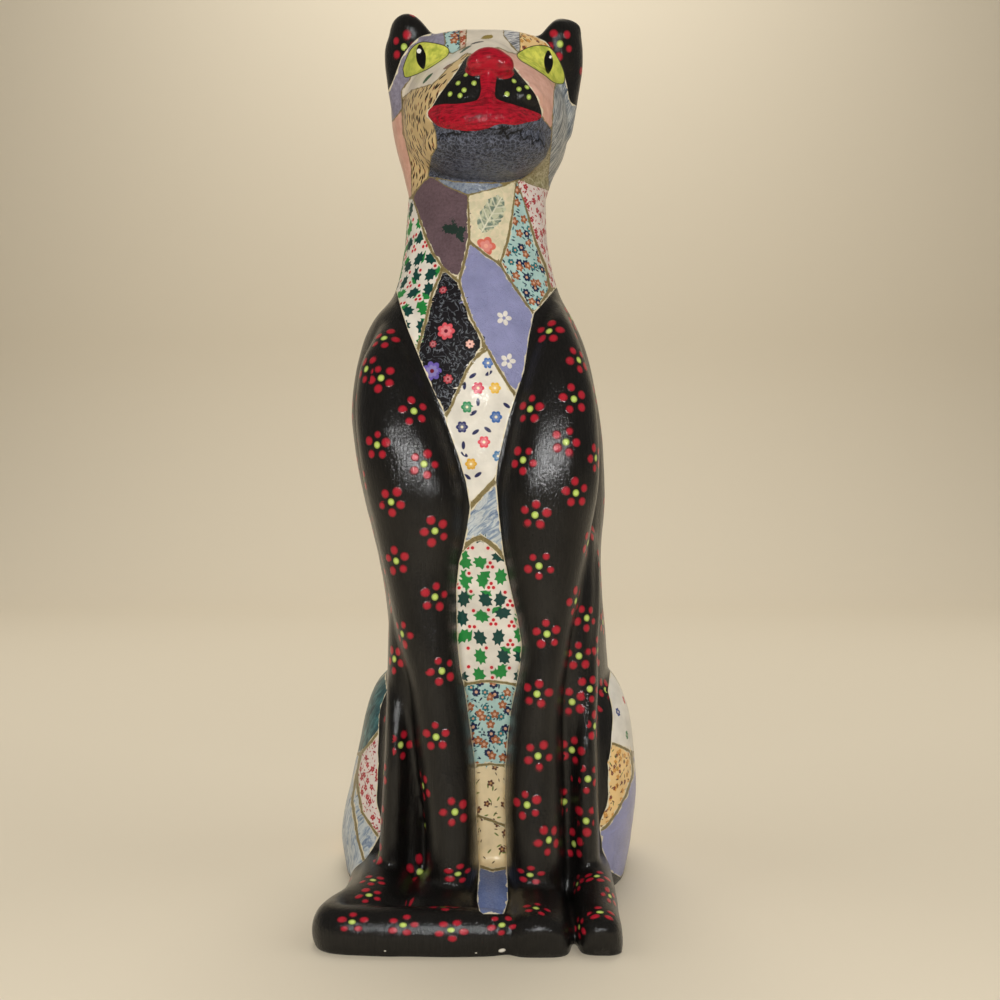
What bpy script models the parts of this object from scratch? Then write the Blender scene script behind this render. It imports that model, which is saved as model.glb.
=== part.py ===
# Papier-mache cat, sitting upright, modelled as one body. Metres, +Z up, the face looks along -Y.
# The origin is on the flat underside, between the feet.
from math import cos, pi, sin

import bmesh
import bpy
from mathutils import Vector

# Driving size: ear tips above the underside
cat_height = 0.375

# Pose and proportions are shares of the height: one unit is a 375th of it, a millimetre at the real size
unit = cat_height / 375

# Grain of the clay, and the number of triangles it is thinned to
grain = 1.2 * unit
triangle_budget = 9700
body_passes = 14
muzzle_passes = 3

# The clay runs on this far below the underside, in units, and one flat cut makes the underside
below = -9.0

# Points round each slice
ring_points = 40
slice_steps = 5


def spline(rows, steps):
    # Rows of numbers joined by a smooth curve that passes through every row
    fine = []
    for i in range(len(rows) - 1):
        before = rows[max(i - 1, 0)]
        after = rows[min(i + 2, len(rows) - 1)]
        for step in range(steps):
            t = step / steps
            row = []
            for a, b, c, d in zip(before, rows[i], rows[i + 1], after):
                pull = 2 * a - 5 * b + 4 * c - d
                twist = 3 * b - a - 3 * c + d
                row.append((2 * b + (c - a) * t + pull * t * t + twist * t ** 3) / 2)
            fine.append(row)
    fine.append(rows[-1])
    return fine


def round_point(i, squareness):
    # Point i of a unit circle, pushed towards a square where squareness is over 2
    c = cos(2 * pi * i / ring_points)
    s = sin(2 * pi * i / ring_points)
    x = abs(c) ** (2 / squareness) * (1 if c >= 0 else -1)
    y = abs(s) ** (2 / squareness) * (1 if s >= 0 else -1)
    return x, y


def close_lump(clay, rings):
    # Bridges rings of points into one closed lump
    loops = []
    for ring in rings:
        verts = [clay.verts.new(point * unit) for point in ring]
        loops.append((verts, [clay.edges.new((verts[i - 1], verts[i])) for i in range(ring_points)]))
    faces = []
    for (verts, edges), (more_verts, more_edges) in zip(loops, loops[1:]):
        faces += bmesh.ops.bridge_loops(clay, edges=edges + more_edges)["faces"]
    faces.append(clay.faces.new(loops[0][0]))
    faces.append(clay.faces.new(loops[-1][0]))
    bmesh.ops.recalc_face_normals(clay, faces=faces)


def stack(clay, rows):
    # A lump of level slices. A row holds height, left, right, front, back and squareness
    rings = []
    for z, left, right, front, back, squareness in spline(rows, slice_steps):
        ring = []
        for i in range(ring_points):
            x, y = round_point(i, squareness)
            middle = Vector(((left + right) / 2, (front + back) / 2, z))
            ring.append(middle + Vector((x * (right - left) / 2, y * (back - front) / 2, 0)))
        rings.append(ring)
    close_lump(clay, rings)


def limb(clay, rows, squareness=2.0):
    # A lump along a path. A row holds the path's x, y and z, half the width and half the height across it
    path = spline(rows, slice_steps)
    rings = []
    for n, (x, y, z, wide, high) in enumerate(path):
        ahead = Vector(path[min(n + 1, len(path) - 1)][:3])
        behind = Vector(path[max(n - 1, 0)][:3])
        along = (ahead - behind).normalized()
        steep = abs(along.z) > 0.95
        side = along.cross(Vector((0, 1, 0) if steep else (0, 0, 1))).normalized()
        up = side.cross(along)
        ring = []
        for i in range(ring_points):
            u, v = round_point(i, squareness)
            ring.append(Vector((x, y, z)) + side * u * wide + up * v * high)
        rings.append(ring)
    close_lump(clay, rings)


def ball(clay, middle, radii):
    # An egg of clay with its middle and its three radii
    for vert in bmesh.ops.create_icosphere(clay, subdivisions=4, radius=1)["verts"]:
        vert.co = (Vector([c * r for c, r in zip(vert.co, radii)]) + Vector(middle)) * unit


def model_trunk(clay):
    # The trunk and neck: height, left, right, front, back, squareness
    stack(clay, [
        (below, -50, 54, -28, 64, 2.3),
        (8, -54, 58, -30, 70, 2.3),
        (40, -54, 57, -32, 75, 2.2),
        (70, -50, 56, -34, 73, 2.2),
        (92, -47, 56, -36, 69, 2.1),
        (110, -46.3, 54.5, -38, 64, 2.1),
        (127, -47.3, 53, -39, 60, 2.1),
        (147, -50.5, 52, -41, 56, 2.1),
        (171, -56, 53.3, -45, 52, 2.1),
        (198, -60.5, 52, -47, 47, 2.1),
        (215, -61, 49.5, -48, 43, 2.1),
        (235, -57.5, 45, -47, 38, 2.1),
        (250, -51.5, 39, -45, 33, 2.1),
        (262, -42, 32.5, -42, 29, 2.1),
        (281, -37.5, 27.5, -38, 24, 2.1),
        (303, -35.5, 26, -37, 24, 2.1),
        (322, -34, 26, -36, 26, 2.1),
    ])


def model_forelegs(clay):
    # Each leg is a column below and widens into the shoulder above
    stack(clay, [
        (below, -26, -3, -55, -15, 2.3),
        (26, -25, -3.5, -55, -15, 2.3),
        (52, -27.5, -4.5, -53, -15, 2.3),
        (81, -31, -7, -51, -15, 2.3),
        (96, -33, -9, -51, -15, 2.3),
        (110, -36.5, -11, -51, -15, 2.3),
        (126, -40, -12, -51, -15, 2.3),
        (143, -43.5, -12, -52, -15, 2.3),
        (159, -47, -9, -54, -15, 2.3),
        (175, -50.5, -8, -56, -15, 2.3),
        (196, -54, -13.5, -56, -15, 2.3),
        (212, -55, -19, -53.5, -15, 2.3),
        (228, -53, -26, -49, -15, 2.3),
        (240, -48, -32, -41, -15, 2.3),
        (250, -44, -36, -28, -15, 2.3),
    ])
    stack(clay, [
        (below, 8, 33, -55, -15, 2.3),
        (28, 8, 32, -55, -15, 2.3),
        (48, 7.5, 31.7, -53, -15, 2.3),
        (73, 9, 31.3, -51, -15, 2.3),
        (90, 10.8, 32, -51, -15, 2.3),
        (108, 14, 34.5, -51, -15, 2.3),
        (122, 11.7, 37, -51, -15, 2.3),
        (134, 9.6, 39.5, -52, -15, 2.3),
        (155, 5.5, 43, -54, -15, 2.3),
        (175, 4, 46.5, -56, -15, 2.3),
        (192, 6.3, 47, -56, -15, 2.3),
        (214, 11.2, 45.3, -53.5, -15, 2.3),
        (232, 16.5, 41, -49, -15, 2.3),
        (246, 22, 36, -41, -15, 2.3),
        (256, 26, 32, -28, -15, 2.3),
    ])


def model_haunches(clay):
    # The thighs bulge outwards behind the narrow fronts of the hind legs
    stack(clay, [
        (below, -64.5, -8, -20, 62, 2.1),
        (9, -68, -8, -24, 68, 2.1),
        (21, -68.6, -8, -27, 71, 2.1),
        (42, -64, -8, -29, 71, 2.1),
        (60, -60, -8, -28, 68, 2.1),
        (75, -57, -8, -23, 62, 2.1),
        (86, -52.5, -12, -13, 53, 2.1),
        (93, -45, -20, 2, 42, 2.1),
    ])
    stack(clay, [
        (below, 10, 62, -20, 62, 2.1),
        (8, 10, 66, -24, 68, 2.1),
        (21, 10, 67.8, -27, 71, 2.1),
        (37, 10, 69.4, -29, 71, 2.1),
        (55, 10, 68.4, -28, 69, 2.1),
        (74, 10, 65.6, -24, 64, 2.1),
        (88, 14, 60, -14, 55, 2.1),
        (97, 24, 52, 2, 44, 2.1),
    ])
    # The flanks fill the valleys between the forelegs and the hind legs
    stack(clay, [
        (below, -46, -22, -36, 10, 2.6),
        (60, -45, -24, -37, 10, 2.6),
        (92, -43.5, -26, -38, 10, 2.5),
        (122, -43, -28, -36, 10, 2.4),
        (150, -43, -30, -30, 10, 2.2),
    ])
    stack(clay, [
        (below, 26, 48, -36, 10, 2.6),
        (60, 27, 48, -37, 10, 2.6),
        (100, 28, 47.5, -38, 10, 2.5),
        (130, 30, 48, -36, 10, 2.4),
        (158, 32, 48, -30, 10, 2.2),
    ])
    # The fronts of the hind legs run up from the feet and fade out over the flanks
    limb(clay, [
        (-39, -20, 116, 3, 4),
        (-38, -28, 94, 4.5, 7),
        (-38, -33, 70, 5, 9),
        (-39, -34, 40, 5.5, 9),
        (-41, -33, below, 6.5, 9),
    ])
    limb(clay, [
        (45, -12, 164, 3, 4),
        (45, -22, 136, 4, 6),
        (42.5, -28, 100, 4.8, 8),
        (41.5, -32, 70, 5.2, 9),
        (41.5, -34, 40, 5.5, 9),
        (42, -33, below, 6.5, 9),
    ])


def model_feet(clay):
    # From the heel to the toes: the right and left forefoot, then the right and left hind foot
    limb(clay, [(20, -30, 4, 12, 13), (20.3, -55, 3.5, 12.9, 13), (20.3, -72, 3, 12.6, 12.8),
                (20.3, -78.5, 2.5, 11, 11.5), (20.3, -81, 2, 7, 8)], squareness=2.7)
    limb(clay, [(-17, -30, 4, 13, 13), (-18.5, -50, 3.5, 15, 13), (-18.6, -62, 3, 14, 12.5),
                (-18.6, -68, 2.5, 10, 10)], squareness=2.7)
    limb(clay, [(44, -15, 6, 10, 15), (44, -40, 5.5, 9.5, 14.5), (43.8, -60, 4, 9.2, 12.5),
                (43.8, -72, 3, 8.8, 12), (43.8, -77.5, 2.5, 7.5, 10.5), (43.8, -79.5, 2, 4.5, 7)],
         squareness=2.7)
    limb(clay, [(-42, -15, 6, 12, 15), (-43, -40, 5.5, 12.5, 14.5), (-43.5, -58, 4, 12, 13),
                (-43.5, -66, 3, 8, 9)], squareness=2.7)
    # The ground between the feet is filled, so that the underside is one flat face
    stack(clay, [(below, -56, 49, -64, 20, 3.0), (0, -56, 49, -64, 20, 3.0), (3, -54, 47, -62, 18, 3.0)])
    # The web that closes the gap between the forefeet
    limb(clay, [(2, -20, 4, 9, 15), (2, -45, 3, 9, 13.5), (2, -68, 1, 9, 11)], squareness=3.0)


def model_tail(clay):
    # It leaves the rump on the ground, hugs the left thigh and lies across the feet
    limb(clay, [
        (14, 56, 6.5, 4, 9.5),
        (3, 68, 6.5, 7.5, 10.5),
        (-14, 70, 6.5, 8, 10.5),
        (-34, 61, 6.5, 8, 10.5),
        (-50, 38, 6, 8, 10),
        (-54, 10, 6, 8, 10),
        (-51.5, -25, 5.5, 8, 10),
        (-53, -47, 5, 8, 10),
        (-58.5, -60, 5, 8.2, 10),
        (-58, -70, 5.5, 8.2, 10.3),
        (-44, -72.3, 5.5, 8.2, 10.3),
        (-25, -73, 5.5, 8.2, 10.3),
        (-5, -73.3, 5.5, 8.2, 10.1),
        (6, -73.3, 5.5, 7, 9),
        (10.5, -73, 5.5, 4, 6),
    ], squareness=2.4)


def model_head(clay):
    # The skull, with a level brow: height, left, right, front, back, squareness
    stack(clay, [
        (298, -33, 24, -30, 20, 2.1),
        (308, -35.5, 26.5, -34, 25, 2.1),
        (318, -38, 30, -38, 28, 2.1),
        (328, -41, 34, -41, 30, 2.2),
        (338, -42.7, 37, -44, 30, 2.3),
        (348, -42.6, 37.2, -47.5, 29, 2.4),
        (357, -40.5, 35.7, -48.5, 24, 2.5),
        (365, -34, 30, -43, 14, 2.5),
        (370, -23, 20, -33, 1, 2.3),
    ])
    # The snout grows out of the whole face and carries the bridge of the nose
    limb(clay, [
        (-1, -5, 335, 37, 31),
        (-1, -30, 333, 35, 29),
        (-0.5, -44, 330, 32, 25),
        (0, -56, 327, 27.5, 20.5),
        (0.5, -65, 325, 22.5, 16),
        (0.8, -71, 324, 17, 12),
        (1, -74.5, 323.5, 10, 8),
    ], squareness=2.1)
    limb(clay, [(-1, -30, 357, 16, 10), (-0.5, -48, 350, 13, 8), (0.8, -60, 343, 10.5, 7), (1.2, -70, 337, 8, 5)])
    # Blunt, thick ears that stand up from the corners of the head
    limb(clay, [(-27, -16, 332, 13, 13), (-30.5, -24, 350, 13, 11), (-32.4, -29.5, 361, 12, 9),
                (-33.6, -32, 367.5, 10.6, 7.5), (-35, -33, 372, 8.4, 6), (-36, -33.5, 375, 4.5, 3.5)])
    limb(clay, [(24, -16, 332, 13, 13), (27.6, -24, 350, 13, 11), (30.2, -29.5, 360, 12, 9),
                (32.2, -32, 366, 10.6, 7.5), (33.6, -33, 370.4, 8.4, 6), (34.4, -33.5, 373.4, 4.5, 3.5)])


def model_muzzle(clay):
    # The two cheeks of the snout and the lower jaw
    ball(clay, (-10, -60, 328), (12, 14, 8.5))
    ball(clay, (11.5, -60, 327.5), (12, 14, 8.5))
    ball(clay, (-0.5, -47, 314), (26, 26, 10))
    # The nose is a broad bulb with two lobes over a ridge that runs down to the lips
    ball(clay, (1.2, -72, 338), (8.8, 9.5, 6.8))
    ball(clay, (-3.6, -74, 334.5), (5, 6.5, 5))
    ball(clay, (6.6, -74, 333.8), (5.2, 6.5, 5.2))
    limb(clay, [(1.2, -74, 337, 2.8, 4), (1, -72.5, 329, 2.8, 4.5), (0.8, -72.5, 321, 3.6, 5)])
    # The lips are one thick roll from corner to corner
    limb(clay, [(-24, -54, 323.2, 2.8, 2.8), (-21, -60, 322, 3.8, 4), (-13, -68.5, 319, 4.4, 5.4),
                (0, -72.8, 317.5, 5, 6), (10, -70, 318.5, 4.6, 5.2), (18, -62, 320.5, 3.8, 4.2),
                (22.5, -54, 322, 2.8, 2.8)])


def lacquered_paper():
    # Dark glossy lacquer over pasted paper
    material = bpy.data.materials.new("lacquered papier-mache")
    material.use_nodes = True
    shader = material.node_tree.nodes["Principled BSDF"]
    shader.inputs["Base Color"].default_value = (0.009, 0.008, 0.007, 1)
    shader.inputs["Roughness"].default_value = 0.25
    shader.inputs["Metallic"].default_value = 0.0
    return material


def with_modifiers(item):
    # The object's mesh once its modifiers are worked out
    bpy.context.view_layer.update()
    graph = bpy.context.evaluated_depsgraph_get()
    return bpy.data.meshes.new_from_object(item.evaluated_get(graph), depsgraph=graph)


def fuse(item, clay, passes):
    # Adds the lumps to the object, makes one skin over it all, and softens it
    clay.from_mesh(item.data)
    mesh = bpy.data.meshes.new(item.name)
    clay.to_mesh(mesh)
    clay.free()
    item.data = mesh
    skin = item.modifiers.new("skin", "REMESH")
    skin.mode = "VOXEL"
    skin.voxel_size = grain
    soften = item.modifiers.new("soften", "SMOOTH")
    soften.factor = 0.5
    soften.iterations = passes
    item.data = with_modifiers(item)
    item.modifiers.clear()


def thin_out(item):
    # Collapses the flattest edges until the budget of triangles is met
    triangles = sum(len(face.vertices) - 2 for face in item.data.polygons)
    thin = item.modifiers.new("thin", "DECIMATE")
    thin.ratio = triangle_budget / triangles
    item.data = with_modifiers(item)
    item.modifiers.clear()


def cut_underside(item):
    # Cuts the body level at the ground and closes it with one flat face
    body = bmesh.new()
    body.from_mesh(item.data)
    geometry = body.verts[:] + body.edges[:] + body.faces[:]
    cut = bmesh.ops.bisect_plane(body, geom=geometry, plane_co=(0, 0, 0), plane_no=(0, 0, 1), clear_inner=True)
    rim = [piece for piece in cut["geom_cut"] if isinstance(piece, bmesh.types.BMEdge)]
    bmesh.ops.edgeloop_fill(body, edges=rim)
    bmesh.ops.dissolve_degenerate(body, dist=0.05 * unit, edges=body.edges)
    bmesh.ops.triangulate(body, faces=body.faces)
    bmesh.ops.recalc_face_normals(body, faces=body.faces)
    body.to_mesh(item.data)
    body.free()


def model_cat():
    cat = bpy.data.objects.new("cat", bpy.data.meshes.new("cat"))
    bpy.context.scene.collection.objects.link(cat)
    body = bmesh.new()
    model_trunk(body)
    model_forelegs(body)
    model_haunches(body)
    model_feet(body)
    model_tail(body)
    model_head(body)
    fuse(cat, body, body_passes)
    muzzle = bmesh.new()
    model_muzzle(muzzle)
    fuse(cat, muzzle, muzzle_passes)
    thin_out(cat)
    cut_underside(cat)
    cat.data.shade_smooth()
    cat.data.materials.clear()
    cat.data.materials.append(lacquered_paper())


for item in list(bpy.data.objects):
    bpy.data.objects.remove(item, do_unlink=True)
model_cat()
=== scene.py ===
import random
from math import cos, pi, radians, sin

import bmesh
import bpy
import numpy as np
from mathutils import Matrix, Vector
from mathutils.bvhtree import BVHTree


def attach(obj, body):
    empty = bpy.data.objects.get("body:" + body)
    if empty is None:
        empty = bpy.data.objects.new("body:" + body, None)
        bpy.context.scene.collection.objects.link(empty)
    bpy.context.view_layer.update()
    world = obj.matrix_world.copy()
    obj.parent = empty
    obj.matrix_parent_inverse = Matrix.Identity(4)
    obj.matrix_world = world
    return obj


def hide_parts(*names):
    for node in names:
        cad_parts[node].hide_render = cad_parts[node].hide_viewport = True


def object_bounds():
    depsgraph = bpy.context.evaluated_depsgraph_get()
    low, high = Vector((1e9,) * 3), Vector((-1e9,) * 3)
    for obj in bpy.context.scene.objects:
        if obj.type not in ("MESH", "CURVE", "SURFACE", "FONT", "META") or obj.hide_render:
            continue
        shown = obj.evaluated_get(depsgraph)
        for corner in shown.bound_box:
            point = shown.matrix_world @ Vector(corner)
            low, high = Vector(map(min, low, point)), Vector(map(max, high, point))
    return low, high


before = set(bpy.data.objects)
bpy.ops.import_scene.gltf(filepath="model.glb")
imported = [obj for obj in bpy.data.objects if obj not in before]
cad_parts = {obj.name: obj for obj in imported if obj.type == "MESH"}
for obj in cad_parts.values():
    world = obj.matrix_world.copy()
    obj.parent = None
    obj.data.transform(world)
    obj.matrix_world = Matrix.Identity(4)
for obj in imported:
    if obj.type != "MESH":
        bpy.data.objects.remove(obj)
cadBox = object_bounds()

# The cat's form. Its pose is given in units, and one unit is a 375th of its height
catForm = {
    "height": 0.375,  # ear tips above the underside, metres
    "grain": 0.95,  # size of a grain of clay, units
    "bodyPasses": 22,  # how often the body is smoothed
    "muzzlePasses": 3,  # how often the muzzle is smoothed, on top of a smooth body
    "lumps": 0.5,  # height of the hand-made unevenness, units
    "lumpSize": 17,  # its breadth, units
    "triangles": 186000,
    "headFrom": 296,  # above this height the full fineness is kept
    "below": -9.0,  # the clay runs on this far under the underside, and one flat cut ends it
    "ringPoints": 40,
    "sliceSteps": 5,
}
unit = catForm["height"] / 375


def spline(rows, steps):
    # Rows of numbers joined by a smooth curve that passes through every row
    fine = []
    for i in range(len(rows) - 1):
        before = rows[max(i - 1, 0)]
        after = rows[min(i + 2, len(rows) - 1)]
        for step in range(steps):
            t = step / steps
            row = []
            for a, b, c, d in zip(before, rows[i], rows[i + 1], after):
                pull = 2 * a - 5 * b + 4 * c - d
                twist = 3 * b - a - 3 * c + d
                row.append((2 * b + (c - a) * t + pull * t * t + twist * t ** 3) / 2)
            fine.append(row)
    fine.append(rows[-1])
    return fine


def roundPoint(i, squareness):
    # Point i of a unit circle, pushed towards a square where squareness is over 2
    c = cos(2 * pi * i / catForm["ringPoints"])
    s = sin(2 * pi * i / catForm["ringPoints"])
    x = abs(c) ** (2 / squareness) * (1 if c >= 0 else -1)
    y = abs(s) ** (2 / squareness) * (1 if s >= 0 else -1)
    return x, y


def closeLump(clay, rings):
    # Bridges rings of points into one closed lump
    loops = []
    for ring in rings:
        verts = [clay.verts.new(point * unit) for point in ring]
        loops.append((verts, [clay.edges.new((verts[i - 1], verts[i])) for i in range(catForm["ringPoints"])]))
    faces = []
    for (verts, edges), (_, moreEdges) in zip(loops, loops[1:]):
        faces += bmesh.ops.bridge_loops(clay, edges=edges + moreEdges)["faces"]
    faces.append(clay.faces.new(loops[0][0]))
    faces.append(clay.faces.new(loops[-1][0]))
    bmesh.ops.recalc_face_normals(clay, faces=faces)


def stack(clay, rows, same=()):
    # A lump of level slices. A row holds height, left, right, front, back and squareness. Where the last of
    # these don't change, same holds them for all rows
    rings = []
    rows = [(*row, *same) for row in rows]
    for z, left, right, front, back, squareness in spline(rows, catForm["sliceSteps"]):
        ring = []
        for i in range(catForm["ringPoints"]):
            x, y = roundPoint(i, squareness)
            middle = Vector(((left + right) / 2, (front + back) / 2, z))
            ring.append(middle + Vector((x * (right - left) / 2, y * (back - front) / 2, 0)))
        rings.append(ring)
    closeLump(clay, rings)


def limb(clay, rows, squareness=2.0):
    # A lump along a path. A row holds the path's x, y and z, half the width and half the height across it
    path = spline(rows, catForm["sliceSteps"])
    rings = []
    for n, (x, y, z, wide, high) in enumerate(path):
        ahead = Vector(path[min(n + 1, len(path) - 1)][:3])
        behind = Vector(path[max(n - 1, 0)][:3])
        along = (ahead - behind).normalized()
        steep = abs(along.z) > 0.95
        side = along.cross(Vector((0, 1, 0) if steep else (0, 0, 1))).normalized()
        up = side.cross(along)
        ring = []
        for i in range(catForm["ringPoints"]):
            u, v = roundPoint(i, squareness)
            ring.append(Vector((x, y, z)) + side * u * wide + up * v * high)
        rings.append(ring)
    closeLump(clay, rings)


def ball(clay, middle, radii):
    # An egg of clay with its middle and its three radii
    for vert in bmesh.ops.create_icosphere(clay, subdivisions=4, radius=1)["verts"]:
        vert.co = (Vector([c * r for c, r in zip(vert.co, radii)]) + Vector(middle)) * unit


def modelTrunk(clay):
    # The trunk and neck: height, left, right, front, back, squareness
    stack(clay, [
        (catForm["below"], -50, 54, -28, 64, 2.3),
        (8, -54, 58, -30, 70, 2.3),
        (40, -54, 57, -32, 75, 2.2),
        (70, -50, 56, -34, 73, 2.2),
        (92, -47, 56, -36, 69, 2.1),
        (110, -46.3, 54.5, -38, 64, 2.1),
        (127, -47.3, 53, -39, 60, 2.1),
        (147, -50.5, 52, -41, 56, 2.1),
        (171, -56, 53.3, -45, 52, 2.1),
        (198, -60.5, 52, -47, 47, 2.1),
        (215, -61, 49.5, -48, 43, 2.1),
        (235, -57.5, 45, -47, 38, 2.1),
        (250, -51.5, 39, -45, 33, 2.1),
        (262, -42, 32.5, -42, 29, 2.1),
        (281, -37.5, 27.5, -38, 24, 2.1),
        (303, -35.5, 26, -37, 24, 2.1),
        (322, -34, 26, -36, 26, 2.1),
    ])


def modelForelegs(clay):
    # Each leg is a column below and widens into the shoulder above
    stack(clay, [
        (catForm["below"], -26, -3, -55),
        (26, -25, -3.5, -55),
        (52, -27.5, -4.5, -53),
        (81, -31, -7, -51),
        (96, -33, -9, -51),
        (110, -36.5, -11, -51),
        (126, -40, -12, -51),
        (143, -43.5, -12, -52),
        (159, -47, -9, -54),
        (175, -50.5, -8, -56),
        (196, -54, -13.5, -56),
        (212, -55, -19, -53.5),
        (228, -53, -26, -49),
        (240, -48, -32, -41),
        (250, -44, -36, -28),
    ], same=(-15, 2.3))
    stack(clay, [
        (catForm["below"], 8, 33, -55),
        (28, 8, 32, -55),
        (48, 7.5, 31.7, -53),
        (73, 9, 31.3, -51),
        (90, 10.8, 32, -51),
        (108, 14, 34.5, -51),
        (122, 11.7, 37, -51),
        (134, 9.6, 39.5, -52),
        (155, 5.5, 43, -54),
        (175, 4, 46.5, -56),
        (192, 6.3, 47, -56),
        (214, 11.2, 45.3, -53.5),
        (232, 16.5, 41, -49),
        (246, 22, 36, -41),
        (256, 26, 32, -28),
    ], same=(-15, 2.3))


def modelHaunches(clay):
    # The thighs bulge outwards behind the narrow fronts of the hind legs
    stack(clay, [
        (catForm["below"], -64.5, -8, -20, 62, 2.1),
        (9, -68, -8, -24, 68, 2.1),
        (21, -68.6, -8, -27, 71, 2.1),
        (42, -64, -8, -29, 71, 2.1),
        (60, -60, -8, -28, 68, 2.1),
        (75, -57, -8, -23, 62, 2.1),
        (86, -52.5, -12, -13, 53, 2.1),
        (93, -45, -20, 2, 42, 2.1),
    ])
    stack(clay, [
        (catForm["below"], 10, 62, -20, 62, 2.1),
        (8, 10, 66, -24, 68, 2.1),
        (21, 10, 67.8, -27, 71, 2.1),
        (37, 10, 69.4, -29, 71, 2.1),
        (55, 10, 68.4, -28, 69, 2.1),
        (74, 10, 65.6, -24, 64, 2.1),
        (88, 14, 60, -14, 55, 2.1),
        (97, 24, 52, 2, 44, 2.1),
    ])
    # The flanks fill the valleys between the forelegs and the hind legs
    stack(clay, [
        (catForm["below"], -46, -22, -36, 10, 2.6),
        (60, -45, -24, -37, 10, 2.6),
        (92, -43.5, -26, -38, 10, 2.5),
        (122, -43, -28, -36, 10, 2.4),
        (150, -43, -30, -30, 10, 2.2),
    ])
    stack(clay, [
        (catForm["below"], 26, 48, -36, 10, 2.6),
        (60, 27, 48, -37, 10, 2.6),
        (100, 28, 47.5, -38, 10, 2.5),
        (130, 30, 48, -36, 10, 2.4),
        (158, 32, 48, -30, 10, 2.2),
    ])
    # The fronts of the hind legs run up from the feet and fade out over the flanks
    limb(clay, [
        (-39, -20, 116, 3, 4),
        (-38, -28, 94, 4.5, 7),
        (-38, -33, 70, 5, 9),
        (-39, -34, 40, 5.5, 9),
        (-41, -33, catForm["below"], 6.5, 9),
    ])
    limb(clay, [
        (45, -12, 164, 3, 4),
        (45, -22, 136, 4, 6),
        (42.5, -28, 100, 4.8, 8),
        (41.5, -32, 70, 5.2, 9),
        (41.5, -34, 40, 5.5, 9),
        (42, -33, catForm["below"], 6.5, 9),
    ])


def modelFeet(clay):
    # From the heel to the toes. The first two are the forefeet, the others the hind feet
    limb(clay, [(20, -30, 4, 12, 13), (20.3, -55, 3.5, 12.9, 13), (20.3, -72, 3, 12.6, 12.8),
                (20.3, -78.5, 2.5, 11, 11.5), (20.3, -81, 2, 7, 8)], squareness=2.3)
    limb(clay, [(-17, -30, 4, 13, 13), (-18.5, -50, 3.5, 15, 13), (-18.6, -62, 3, 14, 12.5),
                (-18.6, -68, 2.5, 10, 10)], squareness=2.7)
    limb(clay, [(44, -15, 6, 10, 15), (44, -40, 5.5, 9.5, 14.5), (43.8, -60, 4, 9.2, 12.5),
                (43.8, -72, 3, 8.8, 12), (43.8, -77.5, 2.5, 7.5, 10.5), (43.8, -79.5, 2, 4.5, 7)],
         squareness=2.3)
    limb(clay, [(-42, -15, 6, 12, 15), (-43, -40, 5.5, 12.5, 14.5), (-43.5, -58, 4, 12, 13),
                (-43.5, -66, 3, 8, 9)], squareness=2.7)
    # The ground between the feet is filled, so that the underside is one flat face
    stack(clay, [
        (catForm["below"], -56, 49, -64, 20),
        (0, -56, 49, -64, 20),
        (3, -54, 47, -62, 18),
    ], same=(3.0,))
    # The web that closes the gap between the forefeet
    limb(clay, [(2, -20, 4, 9, 15), (2, -45, 3, 9, 13.5), (2, -68, 1, 9, 11)], squareness=3.0)


def modelTail(clay):
    # It leaves the rump on the ground, hugs the cat's right thigh and lies across the feet
    limb(clay, [
        (14, 56, 6.5, 4, 9.5),
        (3, 68, 6.5, 7.5, 10.5),
        (-14, 70, 6.5, 8, 10.5),
        (-34, 61, 6.5, 8, 10.5),
        (-50, 38, 6, 8, 10),
        (-54, 10, 6, 8, 10),
        (-51.5, -25, 5.5, 8, 10),
        (-53, -47, 5, 8, 10),
        (-58.5, -60, 5, 8.2, 10),
        (-58, -70, 5.5, 8.2, 10.3),
        (-44, -72.3, 5.5, 8.2, 10.3),
        (-25, -73, 5.5, 8.2, 10.3),
        (-5, -73.3, 5.5, 8.2, 10.1),
        (6, -73.3, 5.5, 7, 9),
        (10.5, -73, 5.5, 4, 6),
    ])


def modelHead(clay):
    # The skull, with a level brow: height, left, right, front, back, squareness
    stack(clay, [
        (298, -33, 24, -30, 20, 2.1),
        (308, -35.5, 26.5, -34, 25, 2.1),
        (318, -38, 30, -38, 28, 2.1),
        (328, -41, 34, -41, 30, 2.2),
        (338, -42.7, 37, -44, 30, 2.3),
        (348, -42.6, 37.2, -47.5, 29, 2.4),
        (357, -40.5, 35.7, -48.5, 24, 2.5),
        (365, -34, 30, -43, 14, 2.5),
        (370, -23, 20, -33, 1, 2.3),
    ])
    # The snout grows out of the whole face and carries the bridge of the nose
    limb(clay, [
        (-1, -5, 335, 37, 31),
        (-1, -30, 333, 35, 29),
        (-0.5, -44, 330, 32, 25),
        (0, -56, 327, 27.5, 20.5),
        (0.5, -65, 325, 22.5, 16),
        (0.8, -71, 324, 17, 12),
        (1, -74.5, 323.5, 10, 8),
    ], squareness=2.1)
    limb(clay, [(-1, -30, 357, 16, 10), (-0.5, -48, 350, 13, 8), (0.8, -60, 343, 10.5, 7),
                (1.2, -70, 337, 8, 5)])
    # Blunt, thick ears that stand up from the corners of the head
    limb(clay, [(-27, -16, 332, 13, 13), (-30.5, -24, 350, 13, 11), (-32.4, -29.5, 361, 12, 9),
                (-33.6, -32, 367.5, 10.6, 7.5), (-35, -33, 372, 8.4, 6), (-36, -33.5, 375, 4.5, 3.5)])
    limb(clay, [(24, -16, 332, 13, 13), (27.6, -24, 350, 13, 11), (30.2, -29.5, 360, 12, 9),
                (32.2, -32, 366, 10.6, 7.5), (33.6, -33, 370.4, 8.4, 6), (34.4, -33.5, 373.4, 4.5, 3.5)])


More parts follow.
